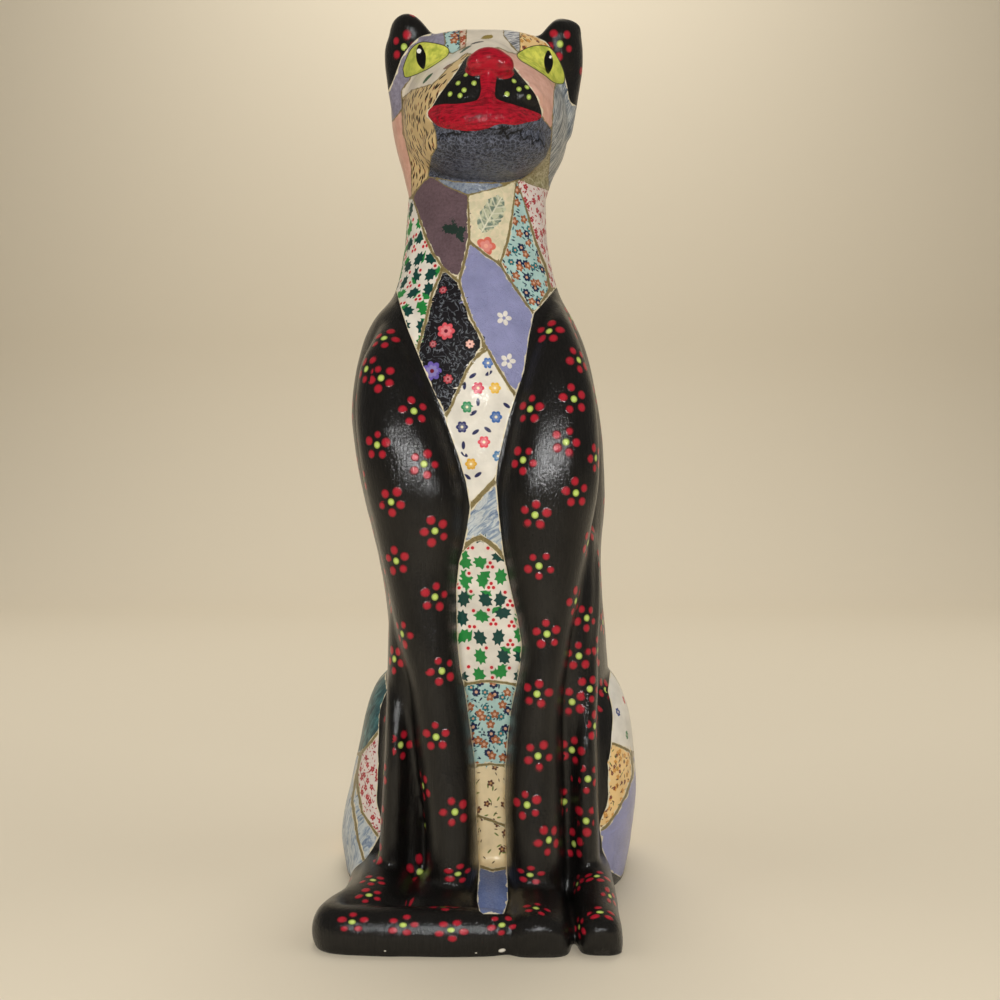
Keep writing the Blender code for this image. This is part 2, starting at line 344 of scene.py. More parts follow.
def modelMuzzle(clay):
    # The two cheeks of the snout and the lower jaw
    ball(clay, (-10, -60, 328), (12, 14, 8.5))
    ball(clay, (11.5, -60, 327.5), (12, 14, 8.5))
    ball(clay, (-0.5, -47, 314), (26, 26, 10))
    # The nose is a broad bulb with two lobes over a ridge that runs down to the lips
    ball(clay, (1.3, -72, 338.2), (8.0, 9.5, 5.3))
    ball(clay, (-3.2, -74, 337), (4.4, 6.2, 4.2))
    ball(clay, (6.3, -74, 336.5), (4.6, 6.2, 4.4))
    limb(clay, [(1.2, -74, 337, 2.8, 4), (1, -72.5, 329, 2.7, 4.5), (0.8, -72.5, 321, 3.6, 5)])
    # The lips are one thick roll from corner to corner
    limb(clay, [(-24, -54, 323.2, 2.8, 2.8), (-21, -60, 322, 3.8, 4), (-13, -68.5, 319, 4.4, 5.4),
                (0, -72.8, 317.5, 5, 6), (10, -70, 318.5, 4.6, 5.2), (18, -62, 320.5, 3.8, 4.2),
                (22.5, -54, 322, 2.8, 2.8)])


def withModifiers(item):
    # The object's mesh once its modifiers are worked out
    bpy.context.view_layer.update()
    graph = bpy.context.evaluated_depsgraph_get()
    return bpy.data.meshes.new_from_object(item.evaluated_get(graph), depsgraph=graph)


def fuse(item, clay, passes):
    # Adds the lumps to the object, makes one skin over it all, and softens it
    clay.from_mesh(item.data)
    mesh = bpy.data.meshes.new(item.name)
    clay.to_mesh(mesh)
    clay.free()
    item.data = mesh
    skin = item.modifiers.new("skin", "REMESH")
    skin.mode = "VOXEL"
    skin.voxel_size = catForm["grain"] * unit
    soften = item.modifiers.new("soften", "SMOOTH")
    soften.factor = 0.5
    soften.iterations = passes
    item.data = withModifiers(item)
    item.modifiers.clear()


def thinOut(item):
    # Collapses edges below the head until the number of triangles is right, and leaves the head fine
    triangles = sum(len(face.vertices) - 2 for face in item.data.polygons)
    low = item.vertex_groups.new(name="below the head")
    heights = [(vert.index, vert.co.z / unit) for vert in item.data.vertices]
    low.add([index for index, height in heights if height < catForm["headFrom"]], 1.0, "REPLACE")
    thin = item.modifiers.new("thin", "DECIMATE")
    thin.vertex_group = low.name
    thin.ratio = catForm["triangles"] / triangles
    item.data = withModifiers(item)
    item.modifiers.clear()
    item.vertex_groups.clear()


def cutUnderside(item):
    # Cuts the body level at the ground and closes it with one flat face
    body = bmesh.new()
    body.from_mesh(item.data)
    geometry = body.verts[:] + body.edges[:] + body.faces[:]
    cut = bmesh.ops.bisect_plane(body, geom=geometry, plane_co=(0, 0, 0), plane_no=(0, 0, 1), clear_inner=True)
    rim = [piece for piece in cut["geom_cut"] if isinstance(piece, bmesh.types.BMEdge)]
    bmesh.ops.edgeloop_fill(body, edges=rim)
    bmesh.ops.triangulate(body, faces=body.faces)
    bmesh.ops.recalc_face_normals(body, faces=body.faces)
    body.to_mesh(item.data)
    body.free()


def addLumps(item):
    # Wet paper never dries quite even
    cloud = bpy.data.textures.new("uneven paper", "CLOUDS")
    cloud.noise_scale = catForm["lumpSize"] * unit
    cloud.noise_depth = 1
    uneven = item.modifiers.new("uneven", "DISPLACE")
    uneven.texture = cloud
    uneven.texture_coords = "LOCAL"
    uneven.strength = catForm["lumps"] * unit
    item.data = withModifiers(item)
    item.modifiers.clear()


def modelCat():
    cat = bpy.data.objects.new("lacqueredCat", bpy.data.meshes.new("lacqueredCat"))
    bpy.context.scene.collection.objects.link(cat)
    body = bmesh.new()
    modelTrunk(body)
    modelForelegs(body)
    modelHaunches(body)
    modelFeet(body)
    modelTail(body)
    modelHead(body)
    fuse(cat, body, catForm["bodyPasses"])
    muzzle = bmesh.new()
    modelMuzzle(muzzle)
    fuse(cat, muzzle, catForm["muzzlePasses"])
    addLumps(cat)
    cutUnderside(cat)
    thinOut(cat)
    cat.data.shade_smooth()
    return cat


def placesOf(mesh):
    # The mesh's points, in metres
    points = np.empty(len(mesh.vertices) * 3, np.float32)
    mesh.vertices.foreach_get("co", points)
    return points.reshape(-1, 3).astype(float)


def keepInside(item, box):
    # Holds every point inside a box
    mesh = item.data
    points = np.clip(placesOf(mesh), np.array(box[0]), np.array(box[1]))
    mesh.vertices.foreach_set("co", points.astype(np.float32).ravel())
    mesh.update()


# The photograph's camera, in metres and pixels
photoCamera = {
    "place": (0.0055, -0.455, 0.1714),
    "lens": 36,
    "sensor": 36,
    "pixels": 1000,
}


def setCamera():
    lens = bpy.data.cameras.new("camera")
    lens.lens = photoCamera["lens"]
    lens.sensor_width = photoCamera["sensor"]
    eye = bpy.data.objects.new("camera", lens)
    eye.location = photoCamera["place"]
    eye.rotation_euler = (radians(90), 0, 0)
    bpy.context.scene.collection.objects.link(eye)
    bpy.context.scene.camera = eye


def photoPlaces(points):
    # Where points in mm fall in the photograph, in pixels, and how many mm a pixel is there
    x, y, z = (np.array(photoCamera["place"]) * 1000)
    away = points[:, 1] - y
    half = photoCamera["pixels"] / 2
    focal = photoCamera["pixels"] * photoCamera["lens"] / photoCamera["sensor"]
    across = half + focal * (points[:, 0] - x) / away
    down = half - focal * (points[:, 2] - z) / away
    return np.stack([across, down], axis=1), away / focal


def outlineDistance(places, outline):
    # How far places lie from an outline. Inside it the distance is negative
    nearest = np.full(len(places), 1e9)
    inside = np.zeros(len(places), bool)
    x, y = places.T
    for (ax, ay), (bx, by) in zip(outline, outline[1:] + outline[:1]):
        along = ((x - ax) * (bx - ax) + (y - ay) * (by - ay)) / ((bx - ax) ** 2 + (by - ay) ** 2)
        along = np.clip(along, 0, 1)
        nearest = np.minimum(nearest, np.hypot(x - ax - along * (bx - ax), y - ay - along * (by - ay)))
        if ay != by:
            inside ^= ((ay > y) != (by > y)) & (x < ax + (bx - ax) * (y - ay) / (by - ay))
    return np.where(inside, -nearest, nearest)


def softOutline(corners):
    # A closed outline with its corners rounded into a smooth curve
    around = [corners[-1], *corners, corners[0], corners[1]]
    return [tuple(point) for point in spline(around, 5)[5:-6]]


def eggDistance(points, middle, radii):
    # About how far points lie outside an egg, in mm
    gap = (points - middle) / radii
    return (np.sqrt((gap ** 2).sum(1)) - 1) * min(radii)


def nearestEgg(points, eggs):
    return np.min([eggDistance(points, np.array(middle), np.array(radii)) for middle, radii in eggs], axis=0)


# Papers that show in the photograph: the print, how it is turned, and the outline in the photograph's pixels
shownPapers = [
    # Head
    ("lavender", 0, [(436, 15), (446, 42), (436, 47), (420, 43), (411, 50), (404, 66), (407, 80), (402, 95),
                     (402, 109), (393, 122), (375, 130), (365, 60), (380, 10)]),
    ("tealSprigs", 20, [(444, 5), (459, 5), (460, 49), (452, 54), (445, 42)]),
    ("rust", 0, [(459, 5), (468, 5), (466, 47), (460, 50)]),
    ("cream", 0, [(468, 5), (501, 5), (504, 36), (512, 46), (518, 52), (508, 52), (498, 47), (487, 44),
                  (476, 47), (467, 53), (452, 64), (433, 84), (412, 90), (402, 99), (400, 88), (408, 84),
                  (425, 72), (440, 63), (449, 55), (458, 51), (465, 47)]),
    ("zebra", 25, [(501, 5), (519, 5), (521, 47), (518, 52), (512, 46), (504, 36)]),
    ("yellowFloral", 0, [(519, 5), (540, 5), (546, 42), (535, 47), (522, 54), (519, 45)]),
    ("salmon", 0, [(508, 52), (518, 57), (531, 66), (546, 76), (554, 85), (554, 92), (552, 129), (546, 124),
                   (541, 116), (537, 98), (529, 86), (517, 73), (506, 60), (498, 47)]),
    ("greyMarble", 70, [(540, 5), (620, 5), (620, 200), (549, 194), (546, 176), (551, 145), (552, 129),
                        (554, 90), (564, 76), (556, 52)]),
    ("beigeStreaks", 65, [(467, 53), (452, 64), (433, 84), (412, 90), (402, 99), (402, 113), (403, 133),
                          (407, 147), (411, 165), (412, 200), (420, 186), (428, 177), (431, 156), (437, 147),
                          (436, 132), (430, 122), (428, 116), (436, 101), (443, 90), (456, 73), (468, 57)]),
    ("salmon", 0, [(402, 109), (403, 133), (407, 147), (411, 165), (412, 200), (370, 210), (365, 125),
                   (393, 120)]),
    ("denim", 0, [(434, 124), (456, 129), (474, 130), (486, 128), (500, 123), (515, 124), (530, 121),
                  (543, 116), (552, 130), (551, 145), (545, 159), (532, 172), (523, 178), (508, 182),
                  (485, 182), (456, 181), (439, 177), (428, 176), (431, 156), (437, 147)]),
    # Under the chin, slate paper whose pale grey is partly its own colour and partly a painted sheen
    ("slateShine", 0, [(436, 179), (456, 183), (485, 184), (508, 184), (517, 181), (505, 187), (486, 191),
                       (468, 195), (450, 188)]),
    ("olive", 0, [(545, 159), (551, 147), (550, 170), (549, 190), (535, 186), (522, 180), (532, 172)]),
    # Neck
    ("holly", 5, [(412, 196), (425, 235), (432, 252), (443, 268), (432, 294), (426, 320), (417, 352),
                  (408, 330), (402, 312), (396, 290), (370, 280), (385, 200)]),
    ("plum", 0, [(412, 196), (425, 180), (432, 178), (445, 186), (468, 195), (469, 240), (466, 255),
                 (459, 282), (443, 268), (432, 252), (425, 235)]),
    ("leaf", 0, [(468, 195), (487, 190), (516, 181), (513, 210), (508, 240), (500, 264), (485, 254),
                 (470, 242)]),
    ("tealSprigs", 0, [(516, 181), (525, 205), (535, 240), (546, 268), (550, 290), (539, 306), (533, 312),
                       (525, 302), (512, 283), (500, 264), (508, 240), (513, 210)]),
    ("redSprigs", 80, [(518, 180), (536, 186), (549, 190), (575, 200), (580, 280), (557, 290), (550, 289),
                       (546, 268), (535, 240), (525, 205)]),
    ("periwinkle", 0, [(549, 289), (556, 288), (540, 307)]),
    # Chest and belly
    ("blackFloral", 0, [(443, 268), (459, 282), (465, 300), (472, 320), (485, 344), (466, 372), (448, 415),
                        (443, 411), (436, 396), (426, 374), (417, 352), (426, 320), (432, 294)]),
    ("periwinkle", 0, [(469, 241), (485, 254), (500, 264), (512, 283), (525, 302), (534, 313), (529, 337),
                       (524, 371), (515, 395), (505, 380), (493, 360), (485, 344), (472, 320), (464, 300),
                       (459, 282), (466, 255)]),
    ("calico", 0, [(485, 344), (493, 360), (505, 380), (515, 395), (508, 420), (502, 445), (498, 462),
                   (496, 479), (470, 507), (466, 482), (458, 455), (447, 425), (447, 415), (466, 372)]),
    ("blueMarble", 40, [(470, 507), (496, 479), (499, 515), (504, 556), (490, 543), (478, 536), (463, 548),
                        (466, 530)]),
    ("holly", 0, [(463, 548), (478, 536), (490, 543), (504, 556), (511, 590), (518, 620), (522, 645),
                  (520, 668), (517, 685), (500, 682), (485, 681), (466, 684), (460, 670), (457, 620),
                  (456, 590), (458, 565)]),
    ("tealSprigs", 90, [(466, 684), (485, 681), (500, 682), (517, 685), (511, 712), (508, 740), (506, 766),
                        (490, 764), (475, 766), (470, 730), (466, 700)]),
    ("brownFloral", 0, [(475, 766), (490, 764), (506, 766), (505, 795), (506, 826), (490, 820), (476, 815)]),
    ("brownFloral", 30, [(476, 815), (490, 820), (506, 826), (507, 868), (492, 870), (479, 866)]),
    ("slate", 0, [(479, 866), (492, 870), (507, 868), (508, 916), (477, 916), (476, 890)]),
    # Haunches
    ("tealLeaf", 60, [(384, 660), (388, 700), (387, 719), (374, 738), (361, 753), (330, 755), (330, 655)]),
    ("redSprigs", 60, [(387, 719), (391, 745), (392, 800), (395, 830), (389, 852), (375, 832), (362, 812),
                       (358, 790), (357, 772), (361, 753), (374, 738)]),
    ("blueMarble", 80, [(330, 755), (361, 753), (357, 772), (352, 800), (358, 840), (366, 868), (345, 880),
                        (330, 880)]),
    ("blueMarble", 20, [(357, 772), (358, 790), (362, 812), (375, 832), (389, 852), (383, 860), (366, 868),
                        (358, 840), (352, 800)]),
    ("calico", 30, [(611, 665), (608, 690), (602, 742), (615, 744), (632, 752), (660, 755), (660, 650)]),
    ("yellowFloral", 0, [(602, 742), (615, 744), (632, 752), (633, 775), (626, 795), (615, 815), (605, 828),
                         (597, 829), (596, 800), (598, 770)]),
    ("periwinkle", 20, [(632, 752), (660, 755), (660, 880), (620, 875), (605, 868), (596, 858), (596, 835),
                        (605, 828), (615, 815), (626, 795), (633, 775)]),
]

# Papers on the sides, back and top: the print, how it is turned, and a place in mm near the paper's middle
hiddenPapers = [
    ("cream", 0, (0, -12, 372)), ("lavender", 0, (-24, -8, 366)), ("yellowFloral", 0, (22, -8, 366)),
    ("cream", 0, (0, -55, 345)), ("beigeStreaks", 0, (-18, -45, 348)), ("salmon", 0, (18, -45, 348)),
    ("lavender", 40, (-42, 6, 346)), ("salmon", 0, (-39, 8, 318)), ("greyMarble", 70, (39, 6, 344)),
    ("olive", 0, (33, 12, 318)), ("periwinkle", 0, (0, 28, 350)), ("calicoBack", 30, (-26, 24, 344)),
    ("holly", 50, (26, 24, 340)), ("redSprigs", 0, (-8, 30, 324)), ("tealSprigs", 0, (18, 30, 318)),
    ("holly", 0, (-34, 10, 296)), ("blackFloral", 0, (-12, 27, 298)), ("redSprigs", 80, (29, 12, 300)),
    ("plum", 0, (-34, 14, 272)), ("tealSprigs", 0, (32, 12, 276)), ("periwinkle", 90, (14, 28, 286)),
    ("calicoBack", 0, (-8, 29, 268)), ("brownFloral", 20, (12, 30, 256)),
    ("tealLeaf", 60, (-58, 24, 82)), ("calicoBack", 60, (-60, 46, 64)), ("redSprigs", 60, (-66, 24, 50)),
    ("periwinkle", 10, (-62, 54, 34)), ("blueMarble", 80, (-68, 20, 18)), ("yellowFloral", 0, (-62, 40, 12)),
    ("holly", 70, (-42, 66, 60)), ("slate", 0, (-42, 70, 28)),
    ("calicoBack", 30, (62, 22, 84)), ("yellowFloral", 0, (69, 26, 56)), ("periwinkle", 20, (69, 24, 20)),
    ("tealLeaf", 10, (60, 48, 70)), ("redSprigs", 20, (66, 48, 40)), ("tealSprigs", 0, (44, 64, 76)),
    ("plum", 0, (48, 68, 46)), ("brownFloral", 0, (54, 62, 16)),
]

# Outlines of what the black lacquer leaves free, and of what it covers, in the photograph's pixels
paperFields = [
    [(383, 0), (640, 0), (640, 289), (556, 288), (540, 307), (534, 313), (529, 337), (524, 371), (516, 395),
     (508, 420), (502, 445), (498, 462), (496, 480), (499, 515), (504, 556), (511, 590), (518, 620), (522, 645),
     (520, 668), (516, 688), (511, 712), (508, 740), (506, 766), (505, 795), (506, 826), (507, 868), (508, 900),
     (504, 914), (480, 914), (477, 900), (479, 866), (476, 815), (475, 766), (470, 730), (466, 700), (464, 686),
     (460, 670), (457, 640), (456, 590), (459, 562), (463, 548), (467, 528), (470, 507), (466, 482), (458, 455),
     (447, 425), (443, 411), (436, 396), (426, 374), (417, 352), (408, 330), (402, 312), (396, 290), (340, 289),
     (340, 0)],
    [(330, 655), (384, 655), (388, 700), (388, 719), (391, 745), (392, 800), (395, 830), (389, 852), (383, 860),
     (366, 868), (345, 881), (320, 881)],
    [(612, 655), (608, 690), (602, 742), (598, 770), (596, 800), (596, 858), (605, 868), (620, 877), (670, 880),
     (670, 650)],
]
ears = [
    softOutline([(436, 31), (420, 37), (410, 46), (402, 57), (398, 67), (390, 87), (378, 100), (360, 60),
                 (380, 5), (420, 0), (440, 20)]),
    softOutline([(535, 35), (546, 42), (555, 55), (563, 69), (567, 86), (573, 104), (600, 100), (600, 10),
                 (560, 0), (530, 15)]),
]
muzzleFields = [
    softOutline([(468, 56), (456, 73), (443, 90), (435, 102), (428, 117), (445, 116), (482, 116), (482, 80),
                 (480, 60)]),
    softOutline([(512, 66), (518, 73), (529, 86), (537, 98), (541, 118), (520, 118), (494, 118), (494, 80),
                 (500, 60)]),
]
lips = softOutline([(428, 115), (432, 107), (443, 104), (456, 104), (470, 102), (478, 99), (481, 90), (481, 70),
                    (496, 70), (495, 90), (497, 99), (515, 105), (530, 110), (541, 115), (538, 120), (529, 122),
                    (515, 125), (500, 124), (486, 129), (474, 131), (456, 130), (438, 126)])
eyes = [
    softOutline([(404, 66), (404, 72), (407, 77), (425, 70), (438, 62), (448, 54), (446, 47), (431, 43),
                 (420, 43), (411, 50)]),
    softOutline([(518, 54), (531, 47), (544, 46), (552, 50), (559, 61), (564, 74), (563, 83), (554, 82),
                 (545, 75), (531, 66), (521, 60)]),
]
pupils = [
    softOutline([(420, 44), (424, 50), (426, 57), (424, 69), (418, 64), (416, 56), (417, 48)]),
    softOutline([(549, 50), (553, 60), (552, 68), (548, 74), (545, 68), (544, 60), (546, 53)]),
]
glints = [((419, 51), 2.4), ((550.5, 57), 1.6)]  # pixel and radius in pixels of the white dot in each pupil

# How the skin is divided, in units
division = {
    "noseEggs": [((1.3, -72, 338.2), (8.6, 10.2, 5.9)), ((-3.2, -74, 337), (5.0, 6.8, 4.8)),
                 ((6.3, -74, 336.5), (5.2, 6.8, 5.0))],
    "snoutFrom": -50,  # in front of this everything follows the photograph
    "eyesBelow": -12,  # eyes and ears lie in front of this
    # Foot of the papers on the back, how steeply their edge climbs, and the share of a step up that counts
    # across it
    "backBib": (238, 0.79, 0.8),
    "rump": (24, 8, 11),  # half the black rump's breadth, and the height and spread of its waves
    "haunchPapers": (2.5, 93),  # from this height to that one on the sides
    "hindLegs": (-25, 58, 0.7),  # haunch papers lie behind this, and above a height they draw back
    "hindWaves": [(7, 1.6), (2.9, 0.5)],  # spread and height of the waves in their front edge
    "muzzleFrom": -14,  # black and red of the face lie in front of these, counted from snoutFrom
    "lipsFrom": -8,
    "away": 9,  # a distance that is outside every shape
    "earEggs": [((-34, -30, 366), (13, 14, 20)), ((33, -30, 364), (13, 14, 20))],
    "turning": 25,  # how fast the skin turns away from the camera at the edge
    "backLine": [(-20, 14), (95, 14), (120, 4), (300, 0), (330, -4), (400, -4)],  # height, depth
}


def shapesOf(mesh):
    # Points and normals in units, and each face's corners
    points = placesOf(mesh) / unit
    normals = np.empty(len(points) * 3, np.float32)
    mesh.vertex_normals.foreach_get("vector", normals)
    corners = np.empty(len(mesh.loops), np.int32)
    mesh.loops.foreach_get("vertex_index", corners)
    return points, normals.reshape(-1, 3).astype(float), corners.reshape(-1, 3)


def nearestOutline(places, scale, outlines):
    return np.min([outlineDistance(places, outline) for outline in outlines], axis=0) * scale


def divideSkin(points, normals):
    # Signed distances, in mm and negative inside, from the edge of each paint and each paper
    places, scale = photoPlaces(points)
    x, y, z = points.T
    toEye = np.array(photoCamera["place"]) / unit - points
    toEye /= np.linalg.norm(toEye, axis=1)[:, None]
    facing = (normals * toEye).sum(1) * division["turning"]
    heights, depths = zip(*division["backLine"])
    snout = division["snoutFrom"] - y
    shown = np.minimum(np.maximum(facing, snout), np.interp(z, heights, depths) - y)

    papers = [np.maximum(outlineDistance(places, outline) * scale, -shown) for _, _, outline in shownPapers]
    seeds = np.array([place for _, _, place in hiddenPapers], float)
    reach = np.linalg.norm(points[:, None, :] - seeds[None, :, :], axis=2)
    order = np.sort(reach, axis=1)
    for k in range(len(seeds)):
        rival = np.where(reach[:, k] == order[:, 0], order[:, 1], order[:, 0])
        papers.append(np.maximum((reach[:, k] - rival) / 2, shown))

    foremost, slopeFrom, slope = division["hindLegs"]
    ahead = foremost + np.maximum(z - slopeFrom, 0) * slope - y
    for spread, height in division["hindWaves"]:
        ahead += np.sin(z / spread) * height
    bibField, *haunchFields = [outlineDistance(places, field) * scale for field in paperFields]
    free = np.minimum(bibField, np.maximum(np.min(haunchFields, axis=0), ahead))
    foot, climb, level = division["backBib"]
    bib = (foot + climb * abs(x) - z) * level
    half, height, spread = division["rump"]
    low, high = division["haunchPapers"]
    wave = np.sin(z / spread) * height / 2
    haunch = np.max([half + wave - abs(x), z - high, low - z, ahead], axis=0)
    free = np.where(shown > 0, free, np.minimum(bib, haunch))
    front = y < division["eyesBelow"]
    ear = nearestOutline(places, scale, ears)
    ear = np.where(front & (facing > 0), ear, np.minimum(ear, nearestEgg(points, division["earEggs"])))
    muzzle = nearestOutline(places, scale, muzzleFields)
    away = division["away"]
    muzzle = np.where(snout > division["muzzleFrom"], muzzle, away)
    red = np.where(snout > division["lipsFrom"], outlineDistance(places, lips) * scale, away)
    red = np.minimum(red, nearestEgg(points, division["noseEggs"]))
    seeing = np.where(front, -facing, away)
    eye = np.maximum(nearestOutline(places, scale, eyes), seeing)
    pupil = np.maximum(nearestOutline(places, scale, pupils), seeing)
    glint = np.min([(np.hypot(*(places - middle).T) - r) * scale for middle, r in glints], axis=0)
    glint = np.maximum(glint, seeing)
    black = np.min([-free, ear, muzzle], axis=0)
    return np.array(papers), {"black": black, "red": red, "eye": eye, "pupil": pupil, "glint": glint}


def writeNumbers(mesh, name, kind, domain, values):
    # Stores numbers on the mesh for the materials to read
    store = mesh.attributes.new(name, kind, domain)
    field = {"FLOAT": "value", "FLOAT_VECTOR": "vector", "FLOAT_COLOR": "color"}[kind]
    store.data.foreach_set(field, np.ascontiguousarray(values, np.float32).ravel())


# The painted flowers, in units: five red dabs round a green one
flowerPaint = {
    "ring": 4.5,  # from the green dab's middle to a red one's
    "dab": 1.75,  # radius of a red dab
    "heart": 1.45,  # radius of the green dab
    "spacing": 15,  # between flowers on the sides that the photograph doesn't show
    "margin": 6,  # from those flowers to the edge of the black
    "turned": 0.05,  # they lie where the skin faces the camera less than this
    "lowest": 4,  # and above this height
    "tries": 6000,
    "seed": 7,
    # Middles of the flowers in the photograph, in its pixels
    "middles": [
        (384, 338), (366, 369), (381, 378), (414, 411), (377, 445), (424, 464), (391, 502), (435, 531),
        (396, 561), (435, 597), (402, 634), (394, 659), (442, 671), (436, 737), (401, 745), (423, 786),
        (455, 812), (420, 872), (458, 874), (373, 880), (369, 895), (443, 907), (352, 922), (403, 925),
        (451, 930), (502, 925), (536, 908), (549, 331), (575, 318), (579, 360), (574, 399), (530, 409),
        (566, 442), (523, 460), (596, 458), (576, 493), (535, 515), (588, 543), (539, 566), (576, 601),
        (547, 634), (603, 622), (587, 618), (598, 650), (579, 656), (537, 694), (590, 689), (606, 690),
        (572, 702), (595, 726), (572, 750), (538, 756), (588, 779), (527, 805), (564, 802), (586, 821),
        (549, 840), (574, 844), (530, 875), (577, 884), (597, 876), (610, 896), (600, 912), (579, 927),
        (404, 47), (560, 44),
    ],
    # Lone green dabs on the muzzle, in the photograph's pixels
    "whiskers": [(458, 83), (450, 94), (460, 95.5), (466, 74.5), (474, 83), (464, 90), (514, 81), (519, 89),
                 (527, 87), (529, 97), (507, 94)],
    "whiskerSize": 0.68,  # of a flower's heart
    # Chips that show white paper pulp: the pixel, and the size
    "chips": [((502, 950.5), 0.95), ((385, 951), 0.3), ((476, 953), 0.3)],
    # Below this height and in front of this, flowers are painted flatter, by this much
    "lowFlowers": (24, -40, 0.62),
    "chance": (0.37, 5),  # a flower's chance number is its own number times the first, within the second
    "reach": 12,  # skin within this of a flower's middle can show it
}

# Printed flowers that stand out in the photograph: pixel, how far the petals reach in units, and their colour
printedFlowers = [
    ((488, 363), 2.4, "#3f68a8"), ((478, 388), 2.6, "#cf3f55"), ((495, 388), 2.5, "#e0b23c"),
    ((467, 407), 2.5, "#2f8a55"), ((496, 417), 2.6, "#35609f"), ((462, 427), 2.5, "#2c2f62"),
    ((484, 442), 2.6, "#dd4a58"), ((471, 464), 2.5, "#d9a526"), ((498, 456), 2.3, "#3d74a0"),
    ((446, 331), 3.6, "#d2545c"), ((432, 371), 4.0, "#6a5aa8"), ((448, 379), 2.0, "#b8474e"),
    ((443, 290), 1.7, "#b5414b"), ((470, 344), 1.8, "#e6b0a0"), ((433, 344), 1.5, "#a8484e"),
    ((504, 318), 3.2, "#e9e2d6"), ((508, 361), 3.2, "#e9e2d6"),
    ((618, 712), 2.0, "#2b3a78"), ((624, 700), 2.0, "#c23a3f"), ((627, 735), 2.0, "#3c7a45"),
    ((458, 231), 5.6, "#27362f"), ((492, 214), 9.0, "#75877a"), ((486, 246), 4.2, "#cf6a58"),
    ((502, 186), 3.4, "#d9705c"), ((486.5, 37.5), 2.4, "#8d7a3e"), ((465, 49), 2.4, "#4c5f50"),
    ((427, 78.5), 2.4, "#3c5a40"), ((476.5, 42.5), 2.4, "#2c2a2c"), ((449, 66), 2.4, "#7d6250"),
]

# Loose leaves of the calico. A leaf is stored as a small reach, which says how it leans
calicoLeaves = {
    "long": 1.7, "wide": 0.75,  # half its length and half its width, mm
    "reach": 1.6,  # what is stored under this is a leaf
    "lean": (-9.6, 11.87),  # it is turned by the reach times the first plus the second, radians
    "colour": "#2a2c52",
    "places": [
        ((472.7, 375.7), 1.3), ((464.4, 385.6), 1.4), ((488.8, 373.2), 1.3), ((478, 402.2), 1.4),
        ((473.4, 413), 1.3), ((506.7, 405.5), 1.5), ((475.6, 432), 1.3), ((487.7, 429.6), 1.5),
        ((463.4, 445.3), 1.4), ((464.4, 454.4), 1.5), ((478, 474.7), 1.3), ((467.3, 476.8), 1.5),
    ],
}


def aim(tree, pixel):
    # Where the line of sight through a pixel meets the skin: the place and the normal, in units.
    # A line that just misses the outline is moved inwards until it meets the skin
    half = photoCamera["pixels"] / 2
    focal = photoCamera["pixels"] * photoCamera["lens"] / photoCamera["sensor"]
    place = None
    inwards = 0
    while place is None:
        across = (pixel[0] - half) * (1 - inwards)
        sight = Vector((across / focal, 1, (half - pixel[1]) / focal)).normalized()
        place, normal, _, _ = tree.ray_cast(Vector(photoCamera["place"]) / unit, sight)
        inwards += 0.01
    return place, normal


def flowerPlaces(tree, points, normals, paints):
    # The flowers of the photograph, and more of them wherever else the skin is black. A flower's size is 1,
    # and a chip's is negative
    marks = [(pixel, 1) for pixel in flowerPaint["middles"]]
    marks += [(pixel, flowerPaint["whiskerSize"]) for pixel in flowerPaint["whiskers"]]
    marks += [(pixel, -size) for pixel, size in flowerPaint["chips"]]
    spots = [(*aim(tree, pixel), size) for pixel, size in marks]
    taken = np.array([spot[0] for spot in spots if spot[2] == 1])
    chance = random.Random(flowerPaint["seed"])
    away = np.array(photoCamera["place"]) / unit - points
    turned = (normals * away).sum(1) / np.linalg.norm(away, axis=1)
    bare = (paints["black"] < -flowerPaint["margin"]) & (turned < flowerPaint["turned"])
    spare = list(np.flatnonzero(bare & (points[:, 2] > flowerPaint["lowest"])))
    chance.shuffle(spare)
    for index in spare[:flowerPaint["tries"]]:
        if (np.linalg.norm(taken - points[index], axis=1) > flowerPaint["spacing"]).all():
            taken = np.vstack([taken, points[index]])
            spots.append((Vector(points[index]), Vector(normals[index]), 1))
    return spots


def tangents(normal):
    # Two directions across a normal: level, and up the slope
    level = Vector((0, 0, 1)).cross(normal)
    level = level.normalized() if level.length > 0.05 else Vector((1, 0, 0))
    return level, normal.cross(level).normalized()


# How painted and printed flowers are laid on the skin
stamps = {
    "turning": 300,  # what it costs, in square units, to be stamped on skin that faces another way
    "outOfReach": 100,  # added to the way from a flower that is too far to show
    "printReach": 14,  # skin within this of a printed flower's middle can show it
    "sheetShift": (31, 17),  # each sheet's print starts this much further on
    "overlap": 0.1,  # faces that come this near to the black are enamel alone
}


def stampPlaces(points, normals, faces, spots, reach):
    # For each face's corners, the way from the spot that is nearest to the face, and that spot's number.
    # A large spot draws faces from further away
    middles = points[faces].mean(axis=1)
    outward = normals[faces].mean(axis=1)
    nearest = np.full(len(faces), 1e9)
    owner = np.zeros(len(faces), int)
    for number, (place, normal, *rest) in enumerate(spots):
        aside = stamps["turning"] * (1 - outward @ np.array(normal))
        cost = ((middles - place) ** 2).sum(1) + aside - rest[0] ** 2
        closer = cost < nearest
        nearest[closer] = cost[closer]
        owner[closer] = number
    level = np.array([tangents(spot[1])[0] for spot in spots])
    rise = np.array([tangents(spot[1])[1] for spot in spots])
    start = np.array([spot[0] for spot in spots])
    gap = points[faces] - start[owner][:, None, :]
    across = (gap * level[owner][:, None, :]).sum(2)
    up = (gap * rise[owner][:, None, :]).sum(2)
    across[nearest > reach ** 2] += stamps["outOfReach"]
    return np.stack([across, up], axis=2), owner


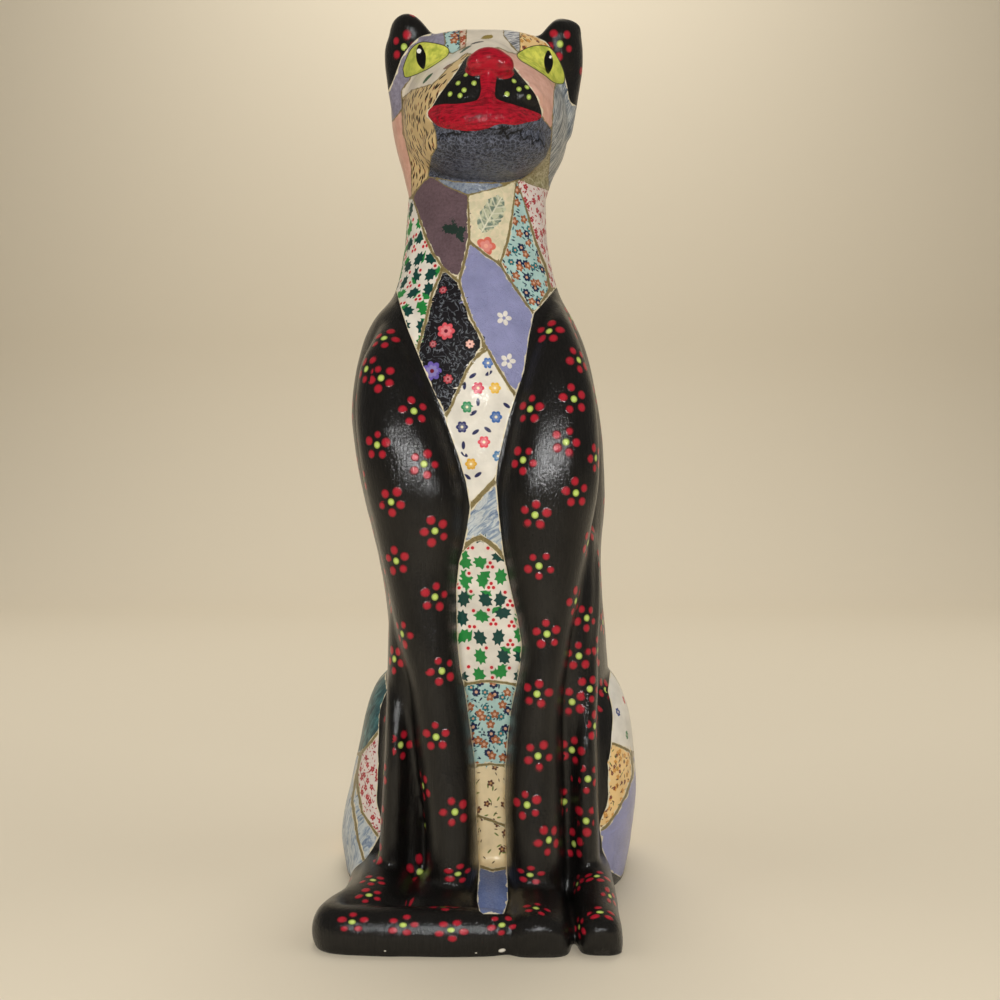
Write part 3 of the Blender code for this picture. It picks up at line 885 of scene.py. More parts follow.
def ink(code):
    # An sRGB hex colour as linear RGBA
    parts = [int(code[k:k + 2], 16) / 255 for k in (1, 3, 5)]
    return (*[c / 12.92 if c <= 0.04045 else ((c + 0.055) / 1.055) ** 2.4 for c in parts], 1)


def addNode(tree, kind, links=None, **settings):
    # One node with its settings. links gives its inputs numbers, colours or what other nodes give
    made = tree.nodes.new("ShaderNode" + kind)
    for name, value in settings.items():
        setattr(made, name, value)
    for name, value in (links or {}).items():
        if isinstance(value, bpy.types.Node):
            value = value.outputs[0]
        if isinstance(value, bpy.types.NodeSocket):
            tree.links.new(value, made.inputs[name])
        else:
            made.inputs[name].default_value = value
    return made


def newMaterial(name):
    # An empty material, and the function that adds nodes to it
    material = bpy.data.materials.new(name)
    material.use_nodes = True
    tree = material.node_tree
    tree.nodes.clear()

    def add(kind, links=None, **settings):
        return addNode(tree, kind, links, **settings)

    return material, add


def printInks(add, ground, inks):
    # Prints inks one over another. Each has its shape's signed distance in mm, how soft its edge is, and a
    # colour
    for distance, soft, colour in inks:
        mask = add("MapRange", {"Value": distance, "From Min": soft, "From Max": -soft})
        ground = add("Mix", {0: mask, 6: ground, 7: colour}, data_type="RGBA").outputs[2]
    return ground


def scatter(add, place, spacing, seed=0.0, randomness=0.85):
    # Spots about one to a spacing in mm: the way from the nearest one, and its chance numbers
    moved = add("VectorMath", {0: place, 1: (seed, seed * 1.7, 0)}, operation="ADD")
    cells = add("TexVoronoi", {"Vector": moved, "Scale": 1 / spacing, "Randomness": randomness},
                voronoi_dimensions="2D")
    way = add("VectorMath", {0: moved, 1: cells.outputs["Position"]}, operation="SUBTRACT")
    return way.outputs[0], cells.outputs["Color"]


def petals(add, way, count, reach, waist, pointed=False):
    # Signed distance from a flower of some petals, whose gaps are cut down to a share of the reach,
    # or from a leaf with as many points
    parts = add("SeparateXYZ", {0: way})
    angle = add("Math", {0: parts.outputs[1], 1: parts.outputs[0]}, operation="ARCTAN2")
    turned = add("Math", {0: angle, 1: count / 2}, operation="MULTIPLY")
    wave = add("Math", {0: add("Math", {0: turned}, operation="COSINE")}, operation="ABSOLUTE")
    if pointed:
        wave = add("Math", {0: 1.0, 1: wave}, operation="SUBTRACT")
    rim = add("Math", {0: wave, 1: reach * (1 - waist), 2: reach * waist}, operation="MULTIPLY_ADD")
    far = add("VectorMath", {0: way}, operation="LENGTH").outputs["Value"]
    return add("Math", {0: far, 1: rim}, operation="SUBTRACT").outputs[0]


def leafShape(add, way, long, wide, angle, start=0.0):
    # Signed distance from a leaf that points along an angle and starts a way out from the spot
    turned = add("VectorRotate", {"Vector": way, "Angle": angle}, rotation_type="Z_AXIS")
    moved = add("VectorMath", {0: turned, 1: (-start - long, 0, 0)}, operation="ADD")
    squeezed = add("VectorMath", {0: moved, 1: (1 / long, 1 / wide, 0)}, operation="MULTIPLY")
    size = add("VectorMath", {0: squeezed}, operation="LENGTH").outputs["Value"]
    return add("Math", {0: size, 1: wide, 2: -wide}, operation="MULTIPLY_ADD").outputs[0]


def petalRing(add, way, count, middle, long, wide):
    # Signed distance from a ring of oval petals whose middles lie a way out from the spot
    parts = add("SeparateXYZ", {0: way})
    angle = add("Math", {0: parts.outputs[1], 1: parts.outputs[0]}, operation="ARCTAN2")
    share = 2 * pi / count
    number = add("Math", {0: angle, 1: 1 / share}, operation="MULTIPLY")
    number = add("Math", {0: number}, operation="ROUND")
    folded = add("Math", {0: number, 1: -share, 2: angle}, operation="MULTIPLY_ADD")
    far = add("VectorMath", {0: way}, operation="LENGTH").outputs["Value"]
    out = add("Math", {0: far, 1: add("Math", {0: folded}, operation="COSINE")}, operation="MULTIPLY")
    aside = add("Math", {0: far, 1: add("Math", {0: folded}, operation="SINE")}, operation="MULTIPLY")
    out = add("Math", {0: out, 1: 1 / long, 2: -middle / long}, operation="MULTIPLY_ADD")
    aside = add("Math", {0: aside, 1: 1 / wide}, operation="MULTIPLY")
    squeezed = add("CombineXYZ", {0: out, 1: aside})
    size = add("VectorMath", {0: squeezed}, operation="LENGTH").outputs["Value"]
    return add("Math", {0: size, 1: wide, 2: -wide}, operation="MULTIPLY_ADD").outputs[0]


def roundDot(add, way, radius):
    # Signed distance from a round dot
    far = add("VectorMath", {0: way}, operation="LENGTH").outputs["Value"]
    return add("Math", {0: far, 1: radius}, operation="SUBTRACT").outputs[0]


def shifted(add, distance, chance, threshold):
    # Leaves a shape out where its chance number is under a threshold
    gone = add("Math", {0: chance, 1: threshold}, operation="LESS_THAN")
    return add("Math", {0: gone, 1: 9.0, 2: distance}, operation="MULTIPLY_ADD").outputs[0]


def numberOf(add, name):
    # A number that is stored on the skin
    return add("Attribute", attribute_name=name).outputs["Fac"]


# The varnish and what lies over every paper
cover = {
    "seam": "#96875a", "seamDark": "#57492c",  # olive gold line between papers
    "fray": "#d8cdb0",
    # Height in units, and half the line's breadth there in mm
    "seamBreadth": [(120, 0.55), (143, 0.95), (182, 0.95), (205, 0.55), (285, 0.55), (305, 0.2)],
    "black": "#100f0e",
    "red": "#a51226", "redDark": "#6d0c18",
    "iris": "#d4d35c", "irisDark": "#97a340", "irisOutside": "#8b9440", "pupil": "#0d0c0b", "glint": "#f2f0e6",
    "rim": "#3b3b2a",
}


def coverPaper(add, colour, place):
    # Lays the seams over a print, and frayed pale paper beside them
    wobble = add("TexNoise", {"Vector": place, "Scale": 0.35, "Detail": 3.0})
    seam = numberOf(add, "seam")
    near = add("Math", {0: seam}, operation="ABSOLUTE")
    rough = add("Math", {0: wobble, 1: -1.0, 2: 0.5}, operation="MULTIPLY_ADD")
    near = add("Math", {0: near, 1: rough}, operation="ADD")
    breadth = numberOf(add, "seamBreadth")
    line = add("Math", {0: near, 1: breadth}, operation="SUBTRACT").outputs[0]
    tone = add("Mix", {0: add("TexNoise", {"Vector": place, "Scale": 0.9, "Detail": 2.0}),
                       6: ink(cover["seam"]), 7: ink(cover["seamDark"])}, data_type="RGBA").outputs[2]
    torn = add("TexNoise", {"Vector": place, "Scale": 0.22, "Detail": 3.0, "Roughness": 0.6})
    least = add("Math", {0: breadth, 1: -2.0, 2: 2.25}, operation="MULTIPLY_ADD")
    least = add("Math", {0: least, 1: 1.1}, operation="MAXIMUM")
    fray = add("Math", {0: torn, 1: -2.6, 2: least}, operation="MULTIPLY_ADD")
    fray = add("Math", {0: line, 1: fray}, operation="ADD").outputs[0]
    return printInks(add, colour, [(fray, 0.15, ink(cover["fray"])), (line, 0.12, tone)])


def catPlace(add):
    # Where a point is on the cat, in mm
    return add("VectorMath", {0: add("TexCoord").outputs["Object"], "Scale": 1000}, operation="SCALE")


def coverPaint(add, colour, edge=()):
    # The painted face over what is at its edge: red nose and lips, and the eyes
    inMm = catPlace(add)
    streaks = add("Mapping", {"Vector": inMm, "Scale": (0.25, 0.5, 1.4)})
    brush = add("TexNoise", {"Vector": streaks, "Scale": 1.0, "Detail": 3.0})
    sharper = add("MapRange", {"Value": brush, "From Min": 0.42, "From Max": 0.68})
    red = add("Mix", {0: sharper, 6: ink(cover["red"]), 7: ink(cover["redDark"])}, data_type="RGBA").outputs[2]
    mottles = add("TexNoise", {"Vector": inMm, "Scale": 0.35, "Detail": 4.0})
    green = add("Mix", {0: add("MapRange", {"Value": mottles, "From Min": 0.4, "From Max": 0.68}),
                        6: ink(cover["iris"]), 7: ink(cover["irisDark"])}, data_type="RGBA").outputs[2]
    across = add("Math", {0: add("SeparateXYZ", {0: inMm}).outputs[0]}, operation="ABSOLUTE")
    outside = add("MapRange", {"Value": across, "From Min": 26.0, "From Max": 30.0, "To Max": 0.5})
    green = add("Mix", {0: outside, 6: green, 7: ink(cover["irisOutside"])}, data_type="RGBA").outputs[2]
    eye = numberOf(add, "eye")
    rim = add("Math", {0: eye, 1: 0.35}, operation="SUBTRACT").outputs[0]
    return printInks(add, colour, [
        *edge,
        (numberOf(add, "red"), 0.08, red),
        (rim, 0.08, ink(cover["rim"])),
        (eye, 0.08, green),
        (numberOf(add, "pupil"), 0.06, ink(cover["pupil"])),
        (numberOf(add, "glint"), 0.06, ink(cover["glint"])),
    ])


def varnish(add, colour, height, bump, roughness, coat):
    # Clear gloss over everything. height is in mm
    relief = add("Bump", {"Height": height, "Distance": 0.001, "Strength": bump})
    shader = add("BsdfPrincipled", {"Base Color": colour, "Roughness": roughness, "IOR": 1.5,
                                    "Specular IOR Level": 0.06, "Coat Weight": coat, "Coat Roughness": 0.08,
                                    "Coat IOR": 1.5, "Normal": relief, "Coat Normal": relief})
    add("OutputMaterial", {"Surface": shader})


def finishPaper(add, colour, place, crinkle=1.0, gloss=0.35, grain=0.8, margins=True):
    # Ages a print, lays everything over it, and varnishes it. margins says whether its torn white edge shows
    # in places beside the black and the red
    stain = add("TexNoise", {"Vector": place, "Scale": 0.12, "Detail": 4.0})
    shade = add("MapRange", {"Value": stain, "From Min": 0.3, "From Max": 0.75, "To Min": 1.06, "To Max": 0.8})
    aged = add("Mix", {0: 1.0, 6: colour, 7: shade}, data_type="RGBA", blend_type="MULTIPLY").outputs[2]
    black = numberOf(add, "black")
    nearest = add("Math", {0: black, 1: numberOf(add, "red")}, operation="MINIMUM")
    torn = add("TexNoise", {"Vector": place, "Scale": 0.3, "Detail": 3.0})
    margin = add("Math", {0: torn, 1: -2.8, 2: nearest}, operation="MULTIPLY_ADD")
    margin = add("Math", {0: margin, 1: 1.05}, operation="ADD").outputs[0]
    edges = [(margin, 0.12, ink(cover["fray"]))] if margins else []
    edges.append((black, 0.08, ink(cover["black"])))
    covered = coverPaint(add, coverPaper(add, aged, place), edges)
    fine = add("TexNoise", {"Vector": place, "Scale": grain, "Detail": 3.0})
    folds = add("TexNoise", {"Vector": place, "Scale": 0.16, "Detail": 2.0, "Distortion": 1.5})
    height = add("Math", {0: folds, 1: 1.8, 2: fine}, operation="MULTIPLY_ADD")
    varnish(add, covered, height, 0.16 * crinkle, 0.42, gloss)


def paperPlace(add):
    # Where a point is on its sheet of paper, in mm
    return add("Attribute", attribute_name="paperPlace").outputs["Vector"]


def lacquer():
    # Black enamel brushed over moulded paper: deep gloss with the strokes of the brush in it, and dabs of
    # thick paint that stand a little proud
    material, add = newMaterial("black enamel with dot flowers")
    inMm = catPlace(add)
    way = add("Attribute", attribute_name="flowerPlace").outputs["Vector"]
    parts = add("SeparateXYZ", {0: way})
    flat = add("CombineXYZ", {0: parts.outputs[0], 1: parts.outputs[1]})
    size = numberOf(add, "flowerSize")
    angle = add("Math", {0: parts.outputs[1], 1: parts.outputs[0]}, operation="ARCTAN2")
    spin = add("Math", {0: parts.outputs[2], 1: 0.7}, operation="MULTIPLY")
    fifth = 2 * pi / 5
    turned = add("Math", {0: add("Math", {0: angle, 1: spin}, operation="ADD"), 1: 1 / fifth},
                 operation="MULTIPLY")
    petal = add("Math", {0: turned}, operation="ROUND")
    middle = add("Math", {0: petal, 1: fifth, 2: add("Math", {0: spin, 1: -1.0}, operation="MULTIPLY")},
                 operation="MULTIPLY_ADD")
    number = add("CombineXYZ", {0: petal, 1: parts.outputs[2]})
    thrown = add("TexWhiteNoise", {"Vector": number}, noise_dimensions="2D").outputs["Color"]
    chance = add("SeparateXYZ", {0: thrown})
    ring = add("Math", {0: chance.outputs[0], 1: 0.9, 2: flowerPaint["ring"] - 0.45}, operation="MULTIPLY_ADD")
    x = add("Math", {0: add("Math", {0: middle}, operation="COSINE"), 1: ring}, operation="MULTIPLY")
    y = add("Math", {0: add("Math", {0: middle}, operation="SINE"), 1: ring}, operation="MULTIPLY")
    fromDab = add("VectorMath", {0: flat, 1: add("CombineXYZ", {0: x, 1: y})}, operation="SUBTRACT")
    radius = add("Math", {0: chance.outputs[1], 1: 0.55, 2: flowerPaint["dab"] - 0.3}, operation="MULTIPLY_ADD")
    far = add("VectorMath", {0: fromDab}, operation="LENGTH").outputs["Value"]
    dab = add("Math", {0: far, 1: radius}, operation="SUBTRACT")
    missing = add("Math", {0: size, 1: 0.9}, operation="LESS_THAN")
    dab = add("Math", {0: missing, 1: 9.0, 2: dab}, operation="MULTIPLY_ADD").outputs[0]
    pulp = add("Math", {0: size, 1: 0.0}, operation="LESS_THAN")
    reach = add("Math", {0: add("Math", {0: size}, operation="ABSOLUTE"), 1: flowerPaint["heart"]},
                operation="MULTIPLY")
    away = add("VectorMath", {0: flat}, operation="LENGTH").outputs["Value"]
    heart = add("Math", {0: away, 1: reach}, operation="SUBTRACT").outputs[0]
    inner = add("Math", {0: heart, 1: 0.5}, operation="ADD").outputs[0]
    # Each red dab is darker at its rim and lighter in its middle
    dabMiddle = add("Math", {0: dab, 1: 0.45}, operation="ADD").outputs[0]
    strokes = add("TexNoise", {"Vector": add("Mapping", {"Vector": inMm, "Scale": (1.3, 1.3, 0.12)}),
                               "Scale": 1.0, "Detail": 5.0, "Roughness": 0.65})
    tone = add("MapRange", {"Value": strokes, "From Min": 0.35, "From Max": 0.75})
    black = add("Mix", {0: tone, 6: ink("#0d0c0b"), 7: ink("#191715")}, data_type="RGBA").outputs[2]
    rimGreen = add("Mix", {0: pulp, 6: ink("#8fa244"), 7: ink("#cfc8bb")}, data_type="RGBA").outputs[2]
    green = add("Mix", {0: pulp, 6: ink("#bccf6c"), 7: ink("#e4dfd4")}, data_type="RGBA").outputs[2]
    painted = printInks(add, black, [
        (dab, 0.1, ink("#6d111c")), (dabMiddle, 0.3, ink("#a61c2b")), (heart, 0.08, rimGreen), (inner, 0.15, green),
    ])
    covered = coverPaint(add, painted)
    sunk = add("Math", {0: pulp, 1: 9.0, 2: heart}, operation="MULTIPLY_ADD")
    proud = add("Math", {0: dab, 1: sunk}, operation="MINIMUM")
    raised = add("MapRange", {"Value": proud, "From Min": 0.15, "From Max": -0.5, "To Max": 0.22},
                 interpolation_type="SMOOTHSTEP")
    pores = add("TexNoise", {"Vector": inMm, "Scale": 1.1, "Detail": 3.0})
    uneven = add("Math", {0: pores, 1: 0.25, 2: add("Math", {0: strokes, 1: 0.45}, operation="MULTIPLY")},
                 operation="MULTIPLY_ADD")
    height = add("Math", {0: raised, 1: uneven}, operation="ADD")
    varnish(add, covered, height, 0.5, 0.3, 0.62)
    return material


def hollyPaper():
    # Printed paper under varnish: green holly leaves and red berries on white
    material, add = newMaterial("holly print paper")
    place = paperPlace(add)
    white = ink("#ddd6c8")
    way, chance = scatter(add, place, 8.0, 3.1, 0.38)
    parts = add("SeparateXYZ", {0: chance})
    angle = add("Math", {0: parts.outputs[1], 1: 6.28}, operation="MULTIPLY")
    turned = add("VectorRotate", {"Vector": way, "Angle": angle}, rotation_type="Z_AXIS")
    narrow = add("VectorMath", {0: turned, 1: (0.8, 1.1, 0)}, operation="MULTIPLY").outputs[0]
    leaf = petals(add, narrow, 8, 3.1, 0.7, True)
    behind = add("VectorMath", {0: narrow, 1: (2.2, -2.4, 0)}, operation="ADD").outputs[0]
    second = petals(add, behind, 7, 2.7, 0.7, True)
    pair = add("Math", {0: parts.outputs[2], 1: 0.5}, operation="GREATER_THAN")
    shade = add("Mix", {0: pair, 6: ink("#22803a"), 7: ink("#103f38")}, data_type="RGBA").outputs[2]
    layers = [(shifted(add, second, parts.outputs[0], 0.5), 0.1, ink("#22803a")),
              (shifted(add, leaf, parts.outputs[0], 0.06), 0.1, shade)]
    aside = add("VectorMath", {0: place, 1: (4.0, 4.0, 0)}, operation="ADD").outputs[0]
    way, chance = scatter(add, aside, 8.0, 3.1, 0.38)
    number = add("SeparateXYZ", {0: chance}).outputs[1]
    halo = [(1.5, 0.3, white), (1.1, 0.3, ink("#e6cabd"))]
    berry = [(0.72, 0.1, ink("#bd1c2a"))]
    for rings in (halo, berry):
        for bare, spin in ((0.05, 0.5), (0.4, 2.6), (0.6, 4.7)):
            aside = (1.15 * cos(spin), 1.15 * sin(spin), 0)
            spot = add("VectorMath", {0: way, 1: aside}, operation="ADD").outputs[0]
            for radius, soft, colour in rings:
                layers.append((shifted(add, roundDot(add, spot, radius), number, bare), soft, colour))
    finishPaper(add, printInks(add, white, layers), place)
    return material


def sprigPaper(name, ground, sprigs, lean=None, heart=None):
    # Printed paper under varnish with scattered sprigs. A sprig holds its spacing in mm, colour, number of
    # petals (or 0 for a leaf), size in mm, and the share of spots that stay empty. Leaves may all lean one
    # way, and flowers may have a heart
    material, add = newMaterial(name)
    place = paperPlace(add)
    layers = []
    for number, (spacing, shade, count, size, bare) in enumerate(sprigs):
        way, chance = scatter(add, place, spacing, 7.3 * number + 1.1)
        parts = add("SeparateXYZ", {0: chance})
        if count:
            shape = petalRing(add, way, count, size * 0.56, size * 0.46, size * 0.36)
        elif lean is None:
            angle = add("Math", {0: parts.outputs[0], 1: 6.28}, operation="MULTIPLY").outputs[0]
            shape = leafShape(add, way, size, size * 0.32, angle)
        else:
            angle = add("Math", {0: parts.outputs[0], 1: 0.8, 2: lean - 0.4}, operation="MULTIPLY_ADD")
            shape = leafShape(add, way, size, size * 0.36, angle, -size)
        layers.append((shifted(add, shape, parts.outputs[1], bare), 0.1, ink(shade)))
        if count and heart:
            middle = roundDot(add, way, size * 0.34)
            layers.append((shifted(add, middle, parts.outputs[1], bare), 0.1, ink(heart)))
    finishPaper(add, printInks(add, ink(ground), layers), place)
    return material


def stampOf(add):
    # The stamp nearest to a point: the way from its middle in mm, its reach and its colour
    way = add("Attribute", attribute_name="printPlace").outputs["Vector"]
    shade = add("Attribute", attribute_name="printColour").outputs["Color"]
    return way, numberOf(add, "printSize"), shade


def bigFlowers(add, stamp, ground, count, ring, heart):
    # Inks for the large flowers that stand where they do in the photograph, with the clear ground round them
    # first. ring holds a petal's middle, half its length and half its width, as shares of the flower's size
    way, size, shade = stamp
    share = add("VectorMath", {0: way, "Scale": add("Math", {0: 1.0, 1: size}, operation="DIVIDE")},
                operation="SCALE").outputs[0]
    flower = add("Math", {0: petalRing(add, share, count, *ring), 1: size}, operation="MULTIPLY").outputs[0]
    clear = add("Math", {0: roundDot(add, share, 1.2), 1: size}, operation="MULTIPLY").outputs[0]
    middle = add("Math", {0: roundDot(add, share, 0.22), 1: size}, operation="MULTIPLY").outputs[0]
    inner = add("VectorMath", {0: share, "Scale": 1.55}, operation="SCALE").outputs[0]
    inner = add("Math", {0: petalRing(add, inner, count, *ring), 1: size}, operation="MULTIPLY").outputs[0]
    lighter = add("Mix", {0: 0.12, 6: shade, 7: (1, 1, 1, 1)}, data_type="RGBA").outputs[2]
    return [(clear, 0.3, ink(ground)), (flower, 0.12, shade), (inner, 0.2, lighter),
            (middle, 0.1, ink(heart))]


def flowerPaper(name, ground, count, ring, heart, crinkle=1.0, bits=(), grain=0.8, gloss=0.35, leafy=False):
    # Printed paper under varnish, with the large flowers, and loose leaves if it is leafy, where they are in
    # the photograph. bits are finer shapes under them
    material, add = newMaterial(name)
    place = paperPlace(add)
    stamp = stampOf(add)
    clear, *flower = bigFlowers(add, stamp, ground, count, ring, heart)
    layers = [*[(shape(add, place), 0.1, ink(colour)) for shape, colour in bits], clear]
    if leafy:
        way, size, shade = stamp
        times, plus = calicoLeaves["lean"]
        long = calicoLeaves["long"]
        least = calicoLeaves["reach"]
        lean = add("Math", {0: size, 1: times, 2: plus}, operation="MULTIPLY_ADD").outputs[0]
        small = add("Math", {0: size, 1: -1.0}, operation="MULTIPLY").outputs[0]
        leaf = leafShape(add, way, long, calicoLeaves["wide"], lean, -long)
        layers.append((shifted(add, leaf, small, -least), 0.1, shade))
        flower = [(shifted(add, shape, size, least), soft, colour) for shape, soft, colour in flower]
    finishPaper(add, printInks(add, ink(ground), layers + flower), place, crinkle, gloss, grain)
    return material


def stampedPaper(name, ground):
    # Plain paper under varnish, with single leaves where they are in the photograph
    material, add = newMaterial(name)
    place = paperPlace(add)
    way = add("Attribute", attribute_name="printPlace").outputs["Vector"]
    shade = add("Attribute", attribute_name="printColour").outputs["Color"]
    rough = add("TexNoise", {"Vector": way, "Scale": 1.2, "Detail": 3.0})
    leaf = leafShape(add, way, 2.9, 1.7, -0.6, -2.6)
    leaf = add("Math", {0: rough, 1: 1.6, 2: leaf}, operation="MULTIPLY_ADD")
    leaf = add("Math", {0: leaf, 1: 0.75}, operation="SUBTRACT").outputs[0]
    finishPaper(add, printInks(add, ink(ground), [(leaf, 0.15, shade)]), place)
    return material


def mottled(add, place, light, dark, grain, roughness):
    # A colour that wanders between two
    mottle = add("TexNoise", {"Vector": place, "Scale": grain, "Detail": 6.0, "Roughness": roughness})
    tone = add("MapRange", {"Value": mottle, "From Min": 0.35, "From Max": 0.68})
    return add("Mix", {0: tone, 6: ink(light), 7: ink(dark)}, data_type="RGBA").outputs[2]


def firPaper():
    # Plum paper under varnish with a single dark fir sprig: jagged needles along three short twigs
    material, add = newMaterial("plum paper with a fir sprig")
    place = paperPlace(add)
    way = add("Attribute", attribute_name="printPlace").outputs["Vector"]
    layers = []
    for angle, long, wide in ((-2.85, 4.0, 1.9), (1.15, 2.9, 1.5), (-2.05, 3.0, 0.7), (-0.2, 2.0, 1.7)):
        twig = leafShape(add, way, long, wide, angle, -0.6)
        jags = add("TexNoise", {"Vector": way, "Scale": 1.0, "Detail": 3.0})
        rough = add("Math", {0: jags, 1: 3.4, 2: -1.7}, operation="MULTIPLY_ADD")
        layers.append((add("Math", {0: twig, 1: rough}, operation="ADD").outputs[0], 0.15, ink("#26362f")))
    ground = mottled(add, place, "#6a565b", "#564549", 0.9, 0.7)
    finishPaper(add, printInks(add, ground, layers), place, 0.8, 0.25)
    return material


def leafPaper():
    # Cream paper under varnish with a grey green leaf that has pale veins, and coral flowers under it
    material, add = newMaterial("cream paper with a veined leaf")
    place = paperPlace(add)
    stamp = stampOf(add)
    way, size, _ = stamp
    flower = bigFlowers(add, stamp, "#dccdac", 5, (0.5, 0.5, 0.42), "#e2a08c")[1:]
    big = add("Math", {0: size, 1: 6.0}, operation="GREATER_THAN")
    small = add("Math", {0: 1.0, 1: big}, operation="SUBTRACT")
    turned = add("VectorRotate", {"Vector": way, "Angle": -1.05}, rotation_type="Z_AXIS")
    parts = add("SeparateXYZ", {0: turned})
    aside = add("Math", {0: parts.outputs[1]}, operation="ABSOLUTE")
    spread = add("Math", {0: aside, 1: -0.8, 2: parts.outputs[0]}, operation="MULTIPLY_ADD")
    wave = add("Math", {0: add("Math", {0: spread, 1: 1.9}, operation="MULTIPLY")}, operation="COSINE")
    rib = add("Math", {0: wave, 1: -0.5, 2: 0.42}, operation="MULTIPLY_ADD")
    vein = add("Math", {0: add("Math", {0: aside, 1: 0.28}, operation="SUBTRACT"), 1: rib}, operation="MINIMUM")
    blade = leafShape(add, way, 8.6, 4.6, -1.05, -8.6)
    ragged = add("TexNoise", {"Vector": place, "Scale": 0.5, "Detail": 4.0})
    blade = add("Math", {0: ragged, 1: 4.0, 2: blade}, operation="MULTIPLY_ADD")
    blade = add("Math", {0: blade, 1: 2.0}, operation="SUBTRACT").outputs[0]
    vein = add("Math", {0: vein, 1: blade}, operation="MAXIMUM").outputs[0]
    worn = add("TexNoise", {"Vector": place, "Scale": 0.35, "Detail": 5.0, "Distortion": 1.0})
    patch = add("MapRange", {"Value": worn, "From Min": 0.42, "From Max": 0.56})
    green = add("Mix", {0: patch, 6: ink("#6f7f70"), 7: ink("#bfc0a2")}, data_type="RGBA").outputs[2]
    layers = [(shifted(add, blade, big, 0.5), 0.15, green),
              (shifted(add, vein, big, 0.5), 0.15, ink("#d9d6bd"))]
    layers += [(shifted(add, shape, small, 0.5), soft, colour) for shape, soft, colour in flower]
    cream = add("Mix", {0: patch, 6: ink("#dccdac"), 7: ink("#cfc6a4")}, data_type="RGBA").outputs[2]
    finishPaper(add, printInks(add, cream, layers), place, 1.2)
    return material


def vines(add, place):
    # Thin curling strokes
    wander = add("TexNoise", {"Vector": place, "Scale": 0.22, "Detail": 2.0, "Distortion": 1.2})
    off = add("Math", {0: wander, 1: 0.5}, operation="SUBTRACT")
    near = add("Math", {0: add("Math", {0: off}, operation="ABSOLUTE"), 1: 12.0, 2: -0.12},
               operation="MULTIPLY_ADD")
    return near.outputs[0]


def scatteredLeaves(add, place):
    # Small leaves in all directions
    way, chance = scatter(add, place, 2.6, 4.4)
    parts = add("SeparateXYZ", {0: chance})
    angle = add("Math", {0: parts.outputs[0], 1: 6.28}, operation="MULTIPLY").outputs[0]
    return shifted(add, leafShape(add, way, 0.8, 0.26, angle), parts.outputs[1], 0.35)


def marbledPaper(name, colours, stretch):
    # Marbled paper under varnish: colours drawn out into streaks. stretch is how close they lie each way
    material, add = newMaterial(name)
    place = paperPlace(add)
    drawn = add("Mapping", {"Vector": place, "Scale": stretch})
    swirl = add("TexNoise", {"Vector": drawn, "Scale": 1.0, "Detail": 5.0, "Distortion": 1.4})
    ramp = add("ValToRGB", {"Fac": swirl})
    first, breadth = 0.32, 0.38
    ends = ramp.color_ramp.elements
    ends[0].position = first
    ends[1].position = first + breadth
    ends[0].color = ink(colours[0])
    ends[1].color = ink(colours[-1])
    for number, colour in enumerate(colours[1:-1]):
        step = ends.new(first + breadth * (number + 1) / (len(colours) - 1))
        step.color = ink(colour)
    finishPaper(add, ramp.outputs[0], place)
    return material


def plainPaper(name, light, dark, grain=0.5, crinkle=1.0, gloss=0.35):
    # Plain dyed paper or thin cloth under varnish, a little mottled
    material, add = newMaterial(name)
    place = paperPlace(add)
    finishPaper(add, mottled(add, place, light, dark, grain, 0.65), place, crinkle, gloss)
    return material


def denimCloth():
    # Dark denim under varnish: pale worn threads in a fine web, lighter and bluer low down as a painted
    # highlight, and a dark line under the lips that is a painted shadow
    material, add = newMaterial("dark denim cloth")
    place = paperPlace(add)
    inMm = catPlace(add)
    height = add("SeparateXYZ", {0: inMm}).outputs[2]
    # The colour grows lighter and bluer towards the bottom of the chin: a painted highlight where it turns to
    # the light
    low = add("MapRange", {"Value": height, "From Min": 307.0, "From Max": 294.0})
    mottle = add("TexNoise", {"Vector": inMm, "Scale": 0.5, "Detail": 7.0, "Roughness": 0.72})
    tone = add("MapRange", {"Value": mottle, "From Min": 0.38, "From Max": 0.68})
    dark = add("Mix", {0: low, 6: ink("#24262e"), 7: ink("#293250")}, data_type="RGBA").outputs[2]
    pale = add("Mix", {0: low, 6: ink("#4f535f"), 7: ink("#8794c2")}, data_type="RGBA").outputs[2]
    ground = add("Mix", {0: tone, 6: dark, 7: pale}, data_type="RGBA").outputs[2]
    bent = add("TexNoise", {"Vector": inMm, "Scale": 0.25, "Detail": 3.0})
    pushed = add("VectorMath", {0: inMm, 1: add("VectorMath", {0: bent.outputs["Color"], "Scale": 5.0},
                                                operation="SCALE")}, operation="ADD")
    threads = add("TexVoronoi", {"Vector": pushed, "Scale": 0.55}, feature="DISTANCE_TO_EDGE")
    frayed = add("Math", {0: mottle, 1: -0.5}, operation="MULTIPLY")
    thread = add("Math", {0: threads.outputs["Distance"], 1: 1.8, 2: frayed}, operation="MULTIPLY_ADD")
    thread = add("Math", {0: thread, 1: 0.16}, operation="ADD").outputs[0]
    # A dark line along the chin just under the lips: a painted shadow of the lips' overhang
    lipShadowLine = add("Math", {0: bent, 1: 7.0, 2: add("Math", {0: height, 1: -316.0}, operation="ADD")},
               operation="MULTIPLY_ADD")
    lipShadowLine = add("Math", {0: add("Math", {0: lipShadowLine}, operation="ABSOLUTE"), 1: 0.45}, operation="SUBTRACT")
    lipShadowLine = lipShadowLine.outputs[0]
    layers = [(thread, 0.15, ink("#6b7080")), (lipShadowLine, 0.3, ink("#121317"))]
    finishPaper(add, printInks(add, ground, layers), place, 4.0, 0.3, margins=False)
    return material


